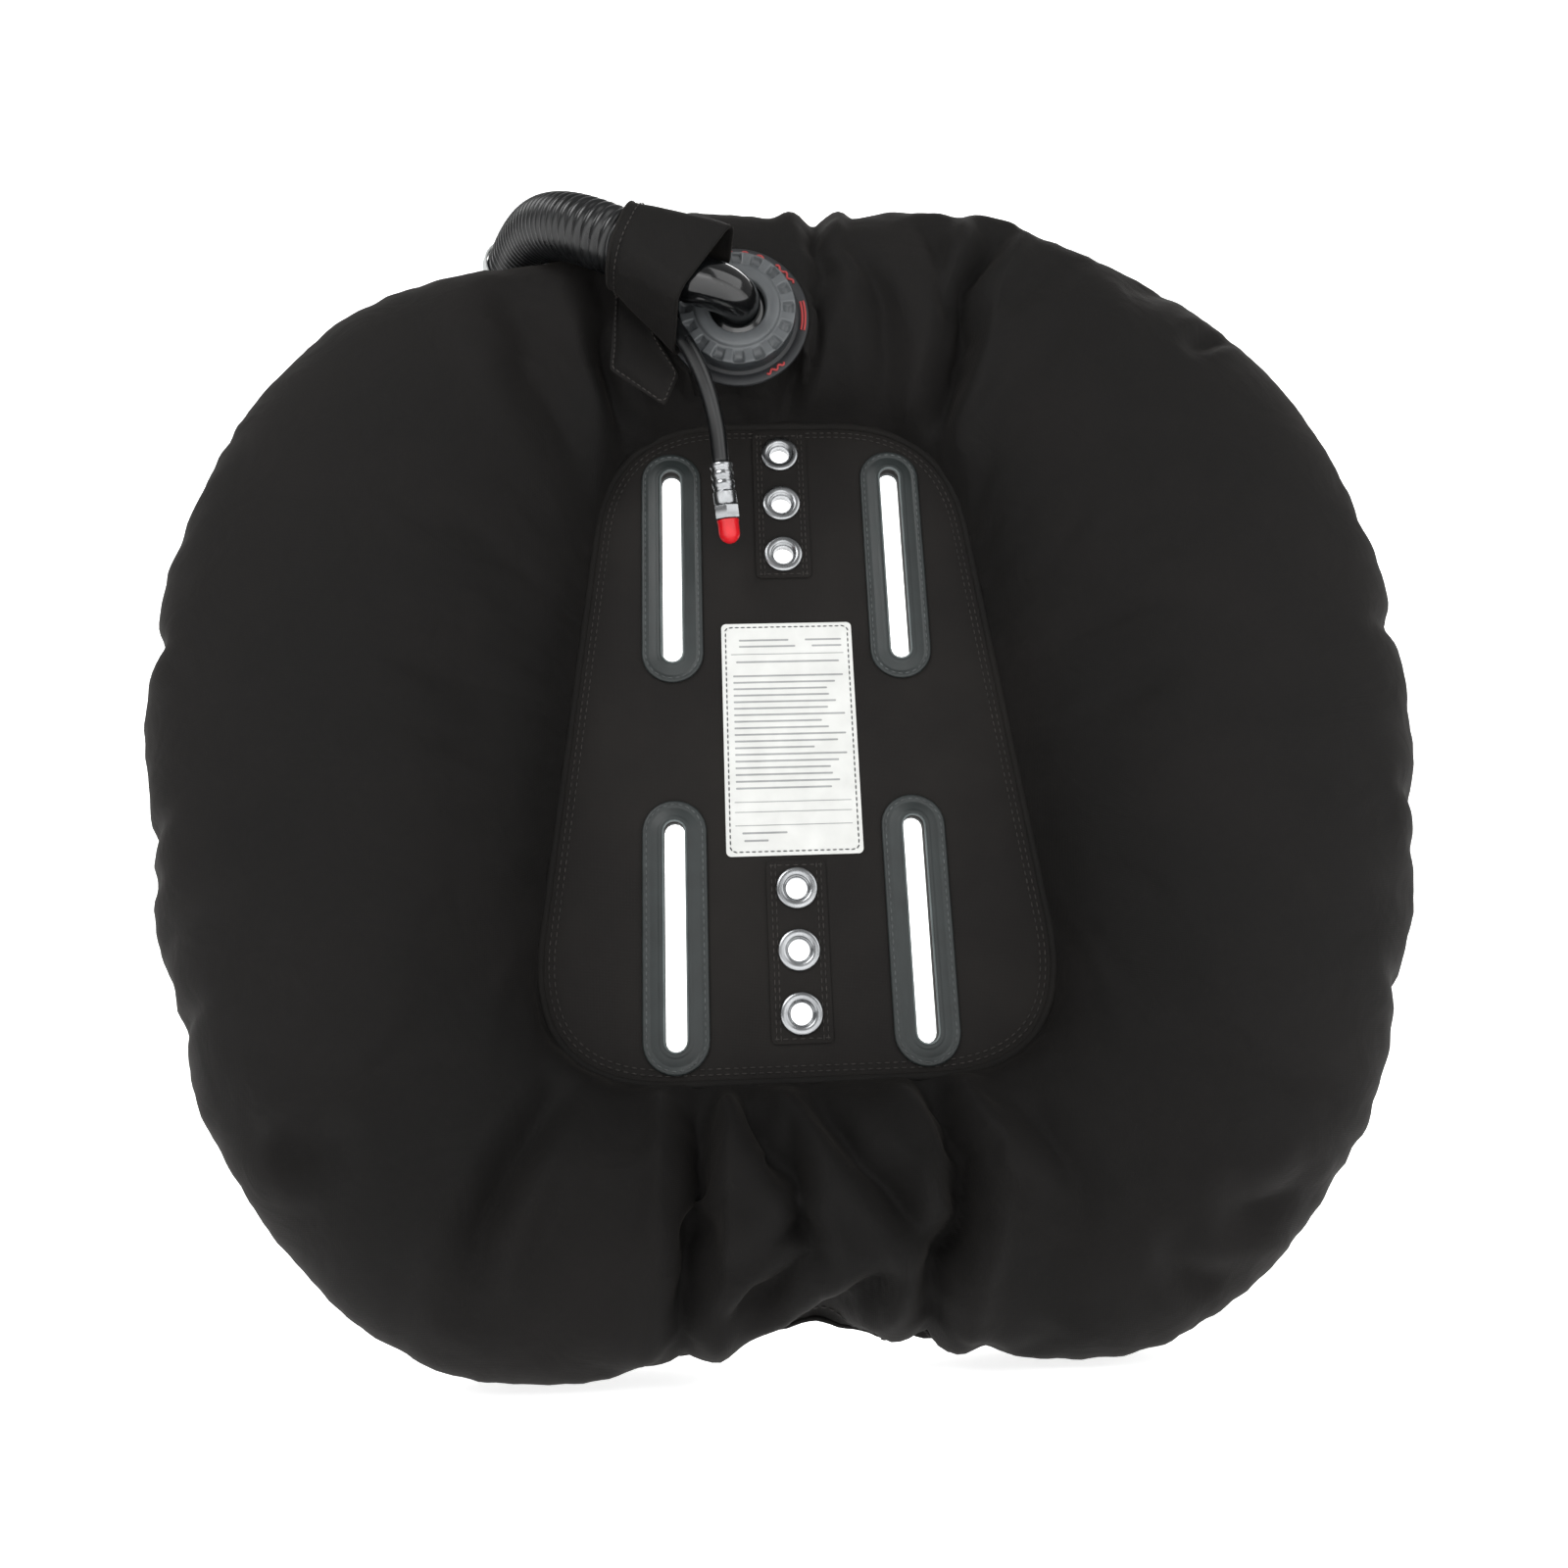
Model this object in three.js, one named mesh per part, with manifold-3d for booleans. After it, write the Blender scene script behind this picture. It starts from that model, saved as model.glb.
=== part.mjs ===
// Donut-shaped buoyancy wing for technical diving, in mm, +Z up as it is worn.
// The origin is the middle of the bolt pattern, on the tank side of the centre panel.
// +X is the diver's right, -Y faces the tank and +Y faces the diver's back.
import * as THREE from "three";
import { mergeVertices } from "three/addons/utils/BufferGeometryUtils.js";
import Module from "manifold-3d";

const wasm = await Module();
wasm.setup();

// ---------------------------------------------------------------- driving dimensions
const GAP = 0.3; // between pieces that touch

// wing outline, worn upright
const WING_WIDTH = 714;
const WING_TOP = 338;
const WING_DROP = 345;
const FRONT_BULGES = [78, 56]; // tank side: at the flanks, then at the top and the bottom
const BACK_BULGES = [70, 54]; // diver side
const FULLNESS = 0.7; // below 1 the tube's section is fuller than an ellipse
const HOSE_BED_ANGLE = THREE.MathUtils.degToRad(116); // where the hose presses the soft tube down
const HOSE_BED_SPREAD = THREE.MathUtils.degToRad(11);
const HOSE_BED_DEPTH = 22;
const HOSE_BED_FLATTENING = 0.25; // how much of that depth flattens the tube as well
const COVER_WALL = 1.0;
const BLADDER_WALL = 1.2;
const AROUND = 40; // facets round the wing
const ACROSS = 6; // facets across one side of the tube

// centre panel, with its seat for a twin-tank or single-tank bolt pattern
const PANEL_THICKNESS = 3;
const PANEL_TOP = 196;
const PANEL_DROP = 211;
const PANEL_TOP_HALF = 107.4;
const PANEL_FOOT_HALF = 153;
const PANEL_TOP_ROUND = 75; // where the corner's curve leaves each edge
const PANEL_FOOT_ROUND = 85;
const BOLT_SPACING = 279.4; // 11 inches between the two middle grommets
const GROMMET_PITCH = 35;
const SLOT_LENGTH = 129;
const SLOT_WIDTH = 12;
const SLOT_SPREAD = 69; // from the middle line to a slot's middle line
const PATCH_BORDER = 12.5; // rubber patch round each slot
const PATCH_TOP_MARGIN = 20.5; // from the upper patches to the panel's top edge
const PATCH_FOOT_MARGIN = 5.5; // from the lower patches to the panel's bottom edge
const PATCH_THICKNESS = 1.8;
const STRIP_WIDTH = 34;
const STRIP_THICKNESS = 0.8;
const STRIP_MARGIN = 16; // strip past the outermost grommet's middle
const LABEL_WIDTH = 79;
const LABEL_HEIGHT = 144;
const LABEL_MIDDLE_Z = -13.5;
const LABEL_THICKNESS = 0.6;

// grommets
const GROMMET_BORE = 5.95;
const GROMMET_BARREL = 7.0;
const GROMMET_FLANGE = 11.9;
const GROMMET_FLANGE_THICKNESS = 1.2;
const GROMMET_FACETS = 16;

// inflation port on the tank side of the top tube
const PORT = new THREE.Vector3(-25, -58, 233); // middle of the flange's outer face
const PORT_TILT = THREE.MathUtils.degToRad(10); // the port looks slightly down
const FLANGE_RADIUS = 43;
const FLANGE_THICKNESS = 2.4;
const NECK_RADIUS = 22;
const NECK_BORE = 17;
const NECK_DEPTH = 14; // inwards, through cover and bladder
const NECK_HEIGHT = 6;
const GASKET_THICKNESS = 1.7;
const COLLAR_RADIUS = 20.5;
const COLLAR_THICKNESS = 2;
const RING_RADIUS = 35;
const RING_LIP = 3;
const RING_HOLE = 16.5;
const ELBOW_RADIUS = 13.5;
const ELBOW_BORE = 10.5;
const ELBOW_BEND = 15; // where its curve leaves the port's axis
const ELBOW_STRAIGHT = 16; // before the hose
const ELBOW_REACH = 28; // from the flange's face to the middle of the outlet

// corrugated hose and low-pressure hose
const HOSE_DIAMETER = 38;
const HOSE_WALL = 3;
const HOSE_SIDES = 10;
const HOSE_STEPS = 20;
const LP_DIAMETER = 10;
const LP_WALL = 2;
const LP_SIDES = 8;
const LP_STEPS = 26;
const HOSE_ROUTE = [
  [-64, -92, 239], [-71.9, -92.8, 243.2], [-88.1, -92.2, 253], [-105.7, -87, 266],
  [-120.7, -77.2, 279.6], [-133.2, -63.9, 292.7], [-143.9, -48, 304.6], [-153.8, -30.3, 314.2],
  [-163.4, -11.2, 320.9], [-173, 8.9, 323.6], [-182.4, 29.2, 321.3], [-191, 48.5, 313.8],
  [-198.2, 65.9, 301.6], [-203.9, 80.8, 285.7], [-208, 92.7, 267.1], [-210.7, 101.3, 246.6],
  [-212.4, 107.6, 224.8], [-213, 110, 200], [-213, 110, 180],
];
const LP_ROUTE = [
  [-37, -46, 141], [-39.2, -54.1, 161.5], [-44.4, -62.7, 181.3], [-53, -69.4, 200.5],
  [-64.4, -71, 219], [-77.2, -69.9, 236.7], [-89.9, -66.6, 254.6], [-100.8, -60.8, 273.2],
  [-109.9, -52.4, 291.6], [-118.2, -40.7, 308.5], [-127.4, -26.2, 322.5], [-137, -8.6, 331.9],
  [-146.3, 11.2, 334.8], [-154.6, 31.2, 330.4], [-162.2, 49.2, 320.1], [-169.3, 65.1, 306.3],
  [-175.5, 79.1, 290.3], [-180.1, 91.3, 272.4], [-182.5, 100.8, 252.5], [-183.1, 107.6, 231.2],
  [-183, 110, 208], [-183, 110, 187],
];

// hook-and-loop sleeve round both hoses
const SLEEVE_START = new THREE.Vector3(-50, -88, 237);
const SLEEVE_END = new THREE.Vector3(-88, -92, 252);
const SLEEVE_WALL = 2;
const SLEEVE_UP = 23; // hollow, from the hose's middle upwards
const SLEEVE_DOWN = 31;
const SLEEVE_FRONT = 23;
const SLEEVE_BACK = 31.4;
const SLEEVE_ROUND = 8; // of the hollow
const FLAP_THICKNESS = 1.5;
// the flap's corners as [up, along] from the sleeve's start
const FLAP_OUTLINE = [[-12, 24], [-4, 46], [-56, 29], [-65, -9], [-42, -9]];

// fittings on the low-pressure hose
const FERRULE_RADIUS = 7;
const FERRULE_LENGTH = 24;
const HEX_RADIUS = 8;
const HEX_LENGTH = 8;
const STUD_RADIUS = 4.6;
const STUD_LENGTH = 10;
const CAP_RADIUS = 6.2;
const CAP_LENGTH = 14;

// inflator at the hose's far end
const BODY_RADIUS = 16;
const BODY_LENGTH = 96;
const BAND_CLEARANCE = 0.7; // round the hose's facets
const KEEPER_POINT = 9; // which point of the hose's route
const KEEPER_LENGTH = 7;
const KEEPER_THICKNESS = 1.6;
const CLAMP_RISE = 12; // above the hose's lower end
const CLAMP_LENGTH = 6;
const CLAMP_THICKNESS = 1.4;
const INFLATE_DROP = 30; // below the top of the body
const INFLATE_BORE = 7.6;
const INFLATE_BOSS = 10.5;
const INFLATE_REACH = 24;
const INFLATE_TRAVEL = 3;
const INFLATE_SEAT = 4.2; // how deep the button's foot stands in its pocket
const BUTTON_PLAY = 0.4;
const BUTTON_CHAMFER = 1;
const INFLATE_PROUD = 5;
const MOUTH_DROP = 72;
const MOUTH_RADIUS = 12;
const MOUTH_BORE = 8;
const MOUTH_REACH = 34;
const MOUTHPIECE_WALL = 3.5;
const MOUTHPIECE_LENGTH = 20;
const MOUTHPIECE_OVERHANG = 4;
const VENT_BORE = 11.5;
const VENT_SEAT = 5;
const VENT_PROUD = 7;
const VENT_TRAVEL = 4;
const NIPPLE_OFFSET = 30; // low-pressure inlet beside the body
const NIPPLE_ARM = 7;
const NIPPLE_RADIUS = 4.4;
const NIPPLE_LENGTH = 14;
const NIPPLE_BORE = 1.5;
const NIPPLE_FOOT_RADIUS = 6;
const NIPPLE_FOOT = 3;
const QD_RADIUS = 7.2;
const QD_LENGTH = 30;
const QD_BORE = 5.4; // the hose's end seats in it
const QD_BORE_DEPTH = 4;
const QD_WAIST = 17; // height at which the body widens, above the sliding collar
const QD_COLLAR_RADIUS = 10;
const QD_COLLAR_LENGTH = 12;
const QD_COLLAR_TRAVEL = 4;
const SPRING_WIRE = 0.9;
const SPRING_PLAY = 1.5; // between a spring and its bore
const SPRING_ROOM = 4.8; // what a fully pressed spring still takes up
const SPRING_TURNS = 3;

// dump valve on the diver side, low on the diver's left
const VALVE_ANGLE = THREE.MathUtils.degToRad(221);
const VALVE_FLANGE_RADIUS = 31;
const VALVE_FLANGE_THICKNESS = 2.2;
const VALVE_STANDOFF = 2.6; // the rigid flange over the curved tube
const VALVE_NECK_RADIUS = 21;
const VALVE_BORE = 14;
const VALVE_NECK_DEPTH = 8;
const VALVE_SEAT_HEIGHT = 3;
const VALVE_SEAT_WALL = 2;
const VALVE_DISC_RADIUS = 17;
const VALVE_DISC_THICKNESS = 2;
const VALVE_TRAVEL = 4;
const VALVE_CAP_RADIUS = 27;
const VALVE_CAP_WALL = 2.2;
const VALVE_CAP_CHAMFER = 3;
const VALVE_VENTS = 8;
const VALVE_VENT_RADIUS = 2.5;
const VALVE_SPRING_RADIUS = 8;
const VALVE_PULL_BORE = 2.5; // outlet in the middle of the cap

// ---------------------------------------------------------------- finishes
function finish(color, roughness, metalness = 0) {
  return new THREE.MeshStandardMaterial({ color, roughness, metalness });
}

const NYLON = finish(0x1b1815, 0.85);
const PANEL_NYLON = finish(0x24211e, 0.8);
const URETHANE = finish(0x5a5c58, 0.5);
const PATCH_RUBBER = finish(0x333838, 0.55);
const LABEL_FILM = finish(0xd4d5d2, 0.6);
const STEEL = finish(0xc9cacb, 0.22, 1);
const BLACK_PLASTIC = finish(0x0e0f10, 0.25);
const GREY_PLASTIC = finish(0x8d9194, 0.55);
const FLANGE_PLASTIC = finish(0x33353a, 0.6);
const BLACK_RUBBER = finish(0x161616, 0.5);
const RED_CAP = finish(0xc8141e, 0.45);

// ---------------------------------------------------------------- solids
const X_AXIS = new THREE.Vector3(1, 0, 0);
const Y_AXIS = new THREE.Vector3(0, 1, 0);
const Z_AXIS = new THREE.Vector3(0, 0, 1);

function solidOf(geometry) {
  const bare = geometry.clone();
  bare.deleteAttribute("normal");
  bare.deleteAttribute("uv");
  const merged = mergeVertices(bare, 1e-4);
  const vertProperties = Float32Array.from(merged.attributes.position.array);
  const triVerts = Uint32Array.from(merged.index.array);
  return new wasm.Manifold(new wasm.Mesh({ numProp: 3, vertProperties, triVerts }));
}

function geometryOf(solid) {
  const mesh = solid.getMesh();
  const geometry = new THREE.BufferGeometry();
  geometry.setAttribute("position", new THREE.Float32BufferAttribute(mesh.vertProperties, 3));
  geometry.setIndex(Array.from(mesh.triVerts));
  return geometry;
}

function cut(body, ...tools) {
  return geometryOf(tools.reduce((rest, tool) => rest.subtract(solidOf(tool)), solidOf(body)));
}

function join(...bodies) {
  return geometryOf(bodies.map(solidOf).reduce((whole, body) => whole.add(body)));
}

// turns a shape made along +Y so that it runs along another direction, then moves it
function place(geometry, direction, origin = new THREE.Vector3()) {
  const turn = new THREE.Quaternion().setFromUnitVectors(Y_AXIS, direction.clone().normalize());
  return geometry.applyQuaternion(turn).translate(origin.x, origin.y, origin.z);
}

// a cylinder from one height to another along +Y
function rod(radius, low, high, facets = 20) {
  return new THREE.CylinderGeometry(radius, radius, high - low, facets).translate(0, (low + high) / 2, 0);
}

// a turned ring: its profile is a closed list of [radius, height]
function turned(profile, facets = 24) {
  const points = profile.map(([radius, height]) => new THREE.Vector2(radius, height));
  points.push(points[0].clone());
  return new THREE.LatheGeometry(points, facets);
}

// a plain washer or sleeve along +Y
function collar(bore, radius, low, high, facets = 24) {
  return turned([[bore, low], [radius, low], [radius, high], [bore, high]], facets);
}

// a compression spring along +Y
function spring(radius, wire, low, high, turns) {
  class Coil extends THREE.Curve {
    getPoint(t) {
      const angle = 2 * Math.PI * turns * t;
      const height = low + wire + (high - low - 2 * wire) * t;
      return new THREE.Vector3(radius * Math.cos(angle), height, radius * Math.sin(angle));
    }
  }
  const section = new THREE.Shape().absarc(0, 0, wire, 0, 2 * Math.PI);
  const options = { curveSegments: 3, steps: turns * 8, bevelEnabled: false, extrudePath: new Coil() };
  return new THREE.ExtrudeGeometry(section, options);
}

// a hose: a plain tube along its route
function hose(route, diameter, wall, sides, steps) {
  const extrudePath = new THREE.CatmullRomCurve3(route.map((p) => new THREE.Vector3(...p)));
  const section = circle(0, 0, diameter / 2, sides);
  section.holes.push(circle(0, 0, diameter / 2 - wall, sides));
  return new THREE.ExtrudeGeometry(section, { steps, bevelEnabled: false, extrudePath });
}

// a flat plate in the XZ plane between two heights of Y, from a shape drawn in (x, z)
function plate(shape, low, high, curveSegments = 6) {
  const options = { depth: high - low, bevelEnabled: false, curveSegments };
  return new THREE.ExtrudeGeometry(shape, options).rotateX(Math.PI / 2).translate(0, high, 0);
}

// an upright stadium, drawn in (x, z)
function stadium(x, z, width, length) {
  const radius = width / 2;
  const straight = length / 2 - radius;
  const shape = new THREE.Path();
  shape.absarc(x, z + straight, radius, 0, Math.PI);
  shape.absarc(x, z - straight, radius, Math.PI, 2 * Math.PI);
  return new THREE.Shape(shape.getPoints(5));
}

function rectangle(x, z, width, height) {
  const [w, h] = [width / 2, height / 2];
  const corners = [[x - w, z - h], [x + w, z - h], [x + w, z + h], [x - w, z + h]];
  return new THREE.Shape(corners.map((corner) => new THREE.Vector2(...corner)));
}

function circle(x, z, radius, facets = GROMMET_FACETS) {
  const points = [];
  for (let i = 0; i < facets; i++) {
    const angle = (2 * Math.PI * i) / facets;
    points.push(new THREE.Vector2(x + radius * Math.cos(angle), z + radius * Math.sin(angle)));
  }
  return new THREE.Shape(points);
}

const root = new THREE.Group();

function add(name, geometry, material, parent = root) {
  const mesh = new THREE.Mesh(geometry, material);
  mesh.name = name;
  parent.add(mesh);
  return mesh;
}

// ---------------------------------------------------------------- outlines seen from the tank side
const ANGLES = Array.from({ length: AROUND }, (_, i) => ((2 * i + 1) / AROUND - 0.5) * Math.PI);

// the right half of the wing, from the top notch to the bottom notch, as shares of its sizes
const WING_HALF = [
  [0, 0.985], [0.2, 0.992], [0.44, 0.935], [0.8, 0.69], [0.985, 0.27], [0.985, -0.2],
  [0.826, -0.661], [0.53, -0.96], [0.21, -0.992], [0, -0.955],
];

function wingOutline() {
  const heightOf = (z) => z * (z > 0 ? WING_TOP : WING_DROP);
  const right = WING_HALF.map(([x, z]) => [(x * WING_WIDTH) / 2, heightOf(z)]);
  const left = right.slice(1, -1).reverse().map(([x, z]) => [-x, z]);
  const points = [...right, ...left].map(([x, z]) => new THREE.Vector3(x, z, 0));
  return new THREE.CatmullRomCurve3(points, true).getPoints(300);
}

function panelOutline() {
  const slope = new THREE.Vector2(PANEL_FOOT_HALF - PANEL_TOP_HALF, -PANEL_TOP - PANEL_DROP).normalize();
  const foot = new THREE.Vector2(PANEL_FOOT_HALF, -PANEL_DROP);
  const top = new THREE.Vector2(PANEL_TOP_HALF, PANEL_TOP);
  const topEnd = top.clone().addScaledVector(slope, PANEL_TOP_ROUND);
  const footStart = foot.clone().addScaledVector(slope, -PANEL_FOOT_ROUND);
  const path = new THREE.Path();
  path.moveTo(0, top.y);
  path.lineTo(top.x - PANEL_TOP_ROUND, top.y);
  path.quadraticCurveTo(top.x, top.y, topEnd.x, topEnd.y);
  path.lineTo(footStart.x, footStart.y);
  path.quadraticCurveTo(foot.x, foot.y, foot.x - PANEL_FOOT_ROUND, foot.y);
  path.lineTo(0, foot.y);
  const right = path.getPoints(10);
  const left = right.slice(1, -1).reverse().map((p) => new THREE.Vector2(-p.x, p.y));
  return [...right, ...left];
}

// how far the outline lies from the origin in one direction
function reach(outline, angle) {
  const direction = new THREE.Vector2(Math.cos(angle), Math.sin(angle));
  let distance = 0;
  outline.forEach((start, i) => {
    const end = outline[(i + 1) % outline.length];
    const edge = new THREE.Vector2(end.x - start.x, end.y - start.y);
    const crossing = direction.cross(edge);
    const along = (start.x * edge.y - start.y * edge.x) / crossing;
    const share = (start.x * direction.y - start.y * direction.x) / crossing;
    if (along > 0 && share >= 0 && share <= 1) distance = along;
  });
  return distance;
}

const WING_OUTLINE = wingOutline();
const PANEL_OUTLINE = panelOutline();
const SEAM_Y = PANEL_THICKNESS / 2;

// a point on one side of the inflated tube; share runs from the panel's edge, 0, to the outer seam, 1
function tubePoint(angle, share, side, inset, seamGap) {
  const bed = HOSE_BED_DEPTH * Math.exp(-(((angle - HOSE_BED_ANGLE) / HOSE_BED_SPREAD) ** 2));
  const inner = reach(PANEL_OUTLINE, angle) + GAP + inset;
  const outer = reach(WING_OUTLINE, angle) - inset - bed;
  const flank = Math.cos(angle) ** 2;
  const [bulge, ends] = side < 0 ? FRONT_BULGES : BACK_BULGES;
  const height = ends + (bulge - ends) * flank - inset - bed * HOSE_BED_FLATTENING;
  const radius = (inner + outer) / 2 - ((outer - inner) / 2) * Math.cos(Math.PI * share);
  const rise = height * Math.max(Math.sin(Math.PI * share), 0) ** FULLNESS;
  const y = SEAM_Y + side * (rise + seamGap);
  return new THREE.Vector3(radius * Math.cos(angle), y, radius * Math.sin(angle));
}

// joins closed sections, one for each angle, into a ring; the facets of a cover's inner face, which
// runs the other way, split along the other diagonal, so that they stay level with the bladder's
function ringOf(sections, innerFace = Infinity) {
  const [rounds, points] = [sections.length, sections[0].length];
  const geometry = new THREE.BufferGeometry().setFromPoints(sections.flat());
  const index = [];
  for (let i = 0; i < rounds; i++) {
    for (let j = 0; j < points; j++) {
      const [next, after] = [(i + 1) % rounds, (j + 1) % points];
      const [a, b, c, d] = [i * points + j, next * points + j, next * points + after, i * points + after];
      index.push(...(j < innerFace ? [a, b, c, a, c, d] : [a, b, d, b, c, d]));
    }
  }
  return geometry.setIndex(index);
}

const SHARES = Array.from({ length: ACROSS + 1 }, (_, i) => i / ACROSS);
const SHARES_BACK = [...SHARES].reverse();

function coverRing(side) {
  const [outwards, inwards] = side < 0 ? [SHARES_BACK, SHARES] : [SHARES, SHARES_BACK];
  return ringOf(ANGLES.map((angle) => [
    ...outwards.map((share) => tubePoint(angle, share, side, 0, GAP / 2)),
    ...inwards.map((share) => tubePoint(angle, share, side, COVER_WALL, GAP / 2)),
  ]), SHARES.length);
}

function bladderRing(inset) {
  return ringOf(ANGLES.map((angle) => [
    ...SHARES_BACK.map((share) => tubePoint(angle, share, -1, inset, 0)),
    ...SHARES.slice(1, -1).map((share) => tubePoint(angle, share, 1, inset, 0)),
  ]));
}

// ---------------------------------------------------------------- port and valve places
const PORT_AXIS = new THREE.Vector3(0, -Math.cos(PORT_TILT), -Math.sin(PORT_TILT));
const VALVE_CREST = tubePoint(VALVE_ANGLE, 0.5, 1, 0, GAP / 2);
const VALVE_FACE = VALVE_CREST.clone().addScaledVector(Y_AXIS, VALVE_STANDOFF + VALVE_FLANGE_THICKNESS);

function portHole() {
  return place(rod(NECK_RADIUS + GAP, -NECK_DEPTH - 20, 20, 24), PORT_AXIS, PORT);
}

function valveHole() {
  return place(rod(VALVE_NECK_RADIUS + GAP, -30, 20, 24), Y_AXIS, VALVE_FACE);
}

// ---------------------------------------------------------------- wing: covers, bladder, panel
const bladderInset = COVER_WALL + GAP;
add("tank_side_cover", cut(coverRing(-1), portHole()), NYLON);
add("diver_side_cover", cut(coverRing(1), valveHole()), NYLON);
const hollowBladder = cut(bladderRing(bladderInset), bladderRing(bladderInset + BLADDER_WALL));
add("inner_bladder", cut(hollowBladder, portHole(), valveHole()), URETHANE);

const GROMMET_ROWS = [1, -1].flatMap((half) => [1, 0, -1].map((step) => ({
  z: half * (BOLT_SPACING / 2) + step * GROMMET_PITCH,
  name: `${half > 0 ? "upper" : "lower"}_${["bottom", "middle", "top"][step + 1]}`,
})));
const PATCH_HALF_LENGTH = SLOT_LENGTH / 2 + PATCH_BORDER;
const SLOT_UPPER_Z = PANEL_TOP - PATCH_TOP_MARGIN - PATCH_HALF_LENGTH;
const SLOT_LOWER_Z = PATCH_FOOT_MARGIN + PATCH_HALF_LENGTH - PANEL_DROP;
const SLOT_PLACES = [-1, 1].flatMap((side) => [SLOT_UPPER_Z, SLOT_LOWER_Z].map((z) => ({
  x: side * SLOT_SPREAD,
  z,
  name: `${z > 0 ? "upper" : "lower"}_${side < 0 ? "left" : "right"}`,
})));

function centrePanel() {
  const corners = ANGLES.map((angle) => {
    const radius = reach(PANEL_OUTLINE, angle);
    return new THREE.Vector2(radius * Math.cos(angle), radius * Math.sin(angle));
  });
  const shape = new THREE.Shape(corners);
  SLOT_PLACES.forEach(({ x, z }) => shape.holes.push(stadium(x, z, SLOT_WIDTH, SLOT_LENGTH)));
  GROMMET_ROWS.forEach(({ z }) => shape.holes.push(circle(0, z, GROMMET_BARREL + GAP)));
  return plate(shape, 0, PANEL_THICKNESS);
}

function grommetStrip(half) {
  const height = 2 * (GROMMET_PITCH + STRIP_MARGIN);
  const shape = rectangle(0, (half * BOLT_SPACING) / 2, STRIP_WIDTH, height);
  GROMMET_ROWS.filter(({ z }) => z * half > 0)
    .forEach(({ z }) => shape.holes.push(circle(0, z, GROMMET_BARREL + GAP)));
  return plate(shape, -GAP - STRIP_THICKNESS, -GAP);
}

function slotPatch(x, z, low) {
  const shape = stadium(x, z, SLOT_WIDTH + 2 * PATCH_BORDER, SLOT_LENGTH + 2 * PATCH_BORDER);
  shape.holes.push(stadium(x, z, SLOT_WIDTH, SLOT_LENGTH));
  return plate(shape, low, low + PATCH_THICKNESS);
}

add("centre_panel", centrePanel(), PANEL_NYLON);
add("upper_grommet_strip", grommetStrip(1), PANEL_NYLON);
add("lower_grommet_strip", grommetStrip(-1), PANEL_NYLON);
SLOT_PLACES.forEach(({ x, z, name }) => {
  add(`slot_patch_tank_${name}`, slotPatch(x, z, -GAP - PATCH_THICKNESS), PATCH_RUBBER);
  add(`slot_patch_diver_${name}`, slotPatch(x, z, PANEL_THICKNESS + GAP), PATCH_RUBBER);
});
const labelShape = rectangle(0, LABEL_MIDDLE_Z, LABEL_WIDTH, LABEL_HEIGHT);
add("label", plate(labelShape, -GAP - LABEL_THICKNESS, -GAP), LABEL_FILM);

// ---------------------------------------------------------------- grommets: flanged barrel and washer
const GROMMET_FACE = -2 * GAP - STRIP_THICKNESS; // under the flange, on the strip
const WASHER_FACE = PANEL_THICKNESS + GAP;

const GROMMET_BACK = WASHER_FACE + GROMMET_FLANGE_THICKNESS;

function grommet() {
  const front = GROMMET_FACE - GROMMET_FLANGE_THICKNESS;
  return turned([
    [GROMMET_BORE, front], [GROMMET_FLANGE, front], [GROMMET_FLANGE, GROMMET_FACE],
    [GROMMET_BARREL, GROMMET_FACE], [GROMMET_BARREL, GROMMET_BACK], [GROMMET_BORE, GROMMET_BACK],
  ], GROMMET_FACETS);
}

function washer() {
  return collar(GROMMET_BARREL + GAP, GROMMET_FLANGE, WASHER_FACE, GROMMET_BACK, GROMMET_FACETS);
}

GROMMET_ROWS.forEach(({ z, name }) => {
  add(`grommet_${name}`, grommet(), STEEL).position.z = z;
  add(`grommet_washer_${name}`, washer(), STEEL).position.z = z;
});

// ---------------------------------------------------------------- port: flange, gasket, elbow, lock ring
const port = new THREE.Group();
port.position.copy(PORT);
port.quaternion.setFromUnitVectors(Y_AXIS, PORT_AXIS);
root.add(port);

const GASKET_FOOT = NECK_HEIGHT + GAP;
const COLLAR_FOOT = GASKET_FOOT + GASKET_THICKNESS + GAP;
const LIP_FOOT = COLLAR_FOOT + COLLAR_THICKNESS + GAP;
const RING_TOP = LIP_FOOT + RING_LIP;
const NECK_FOOT = -FLANGE_THICKNESS - NECK_DEPTH;

add("port_flange", turned([
  [NECK_BORE, NECK_FOOT], [NECK_RADIUS, NECK_FOOT], [NECK_RADIUS, -FLANGE_THICKNESS],
  [FLANGE_RADIUS, -FLANGE_THICKNESS], [FLANGE_RADIUS, 0], [NECK_RADIUS, 0],
  [NECK_RADIUS, NECK_HEIGHT], [NECK_BORE, NECK_HEIGHT],
]), FLANGE_PLASTIC, port);
const gasket = collar(NECK_BORE, COLLAR_RADIUS, GASKET_FOOT, GASKET_FOOT + GASKET_THICKNESS);
add("port_gasket", gasket, BLACK_RUBBER, port);
add("lock_ring", turned([
  [NECK_RADIUS + GAP, GAP], [RING_RADIUS, GAP], [RING_RADIUS, RING_TOP],
  [RING_HOLE, RING_TOP], [RING_HOLE, LIP_FOOT], [NECK_RADIUS + GAP, LIP_FOOT],
]), GREY_PLASTIC, port);

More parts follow.
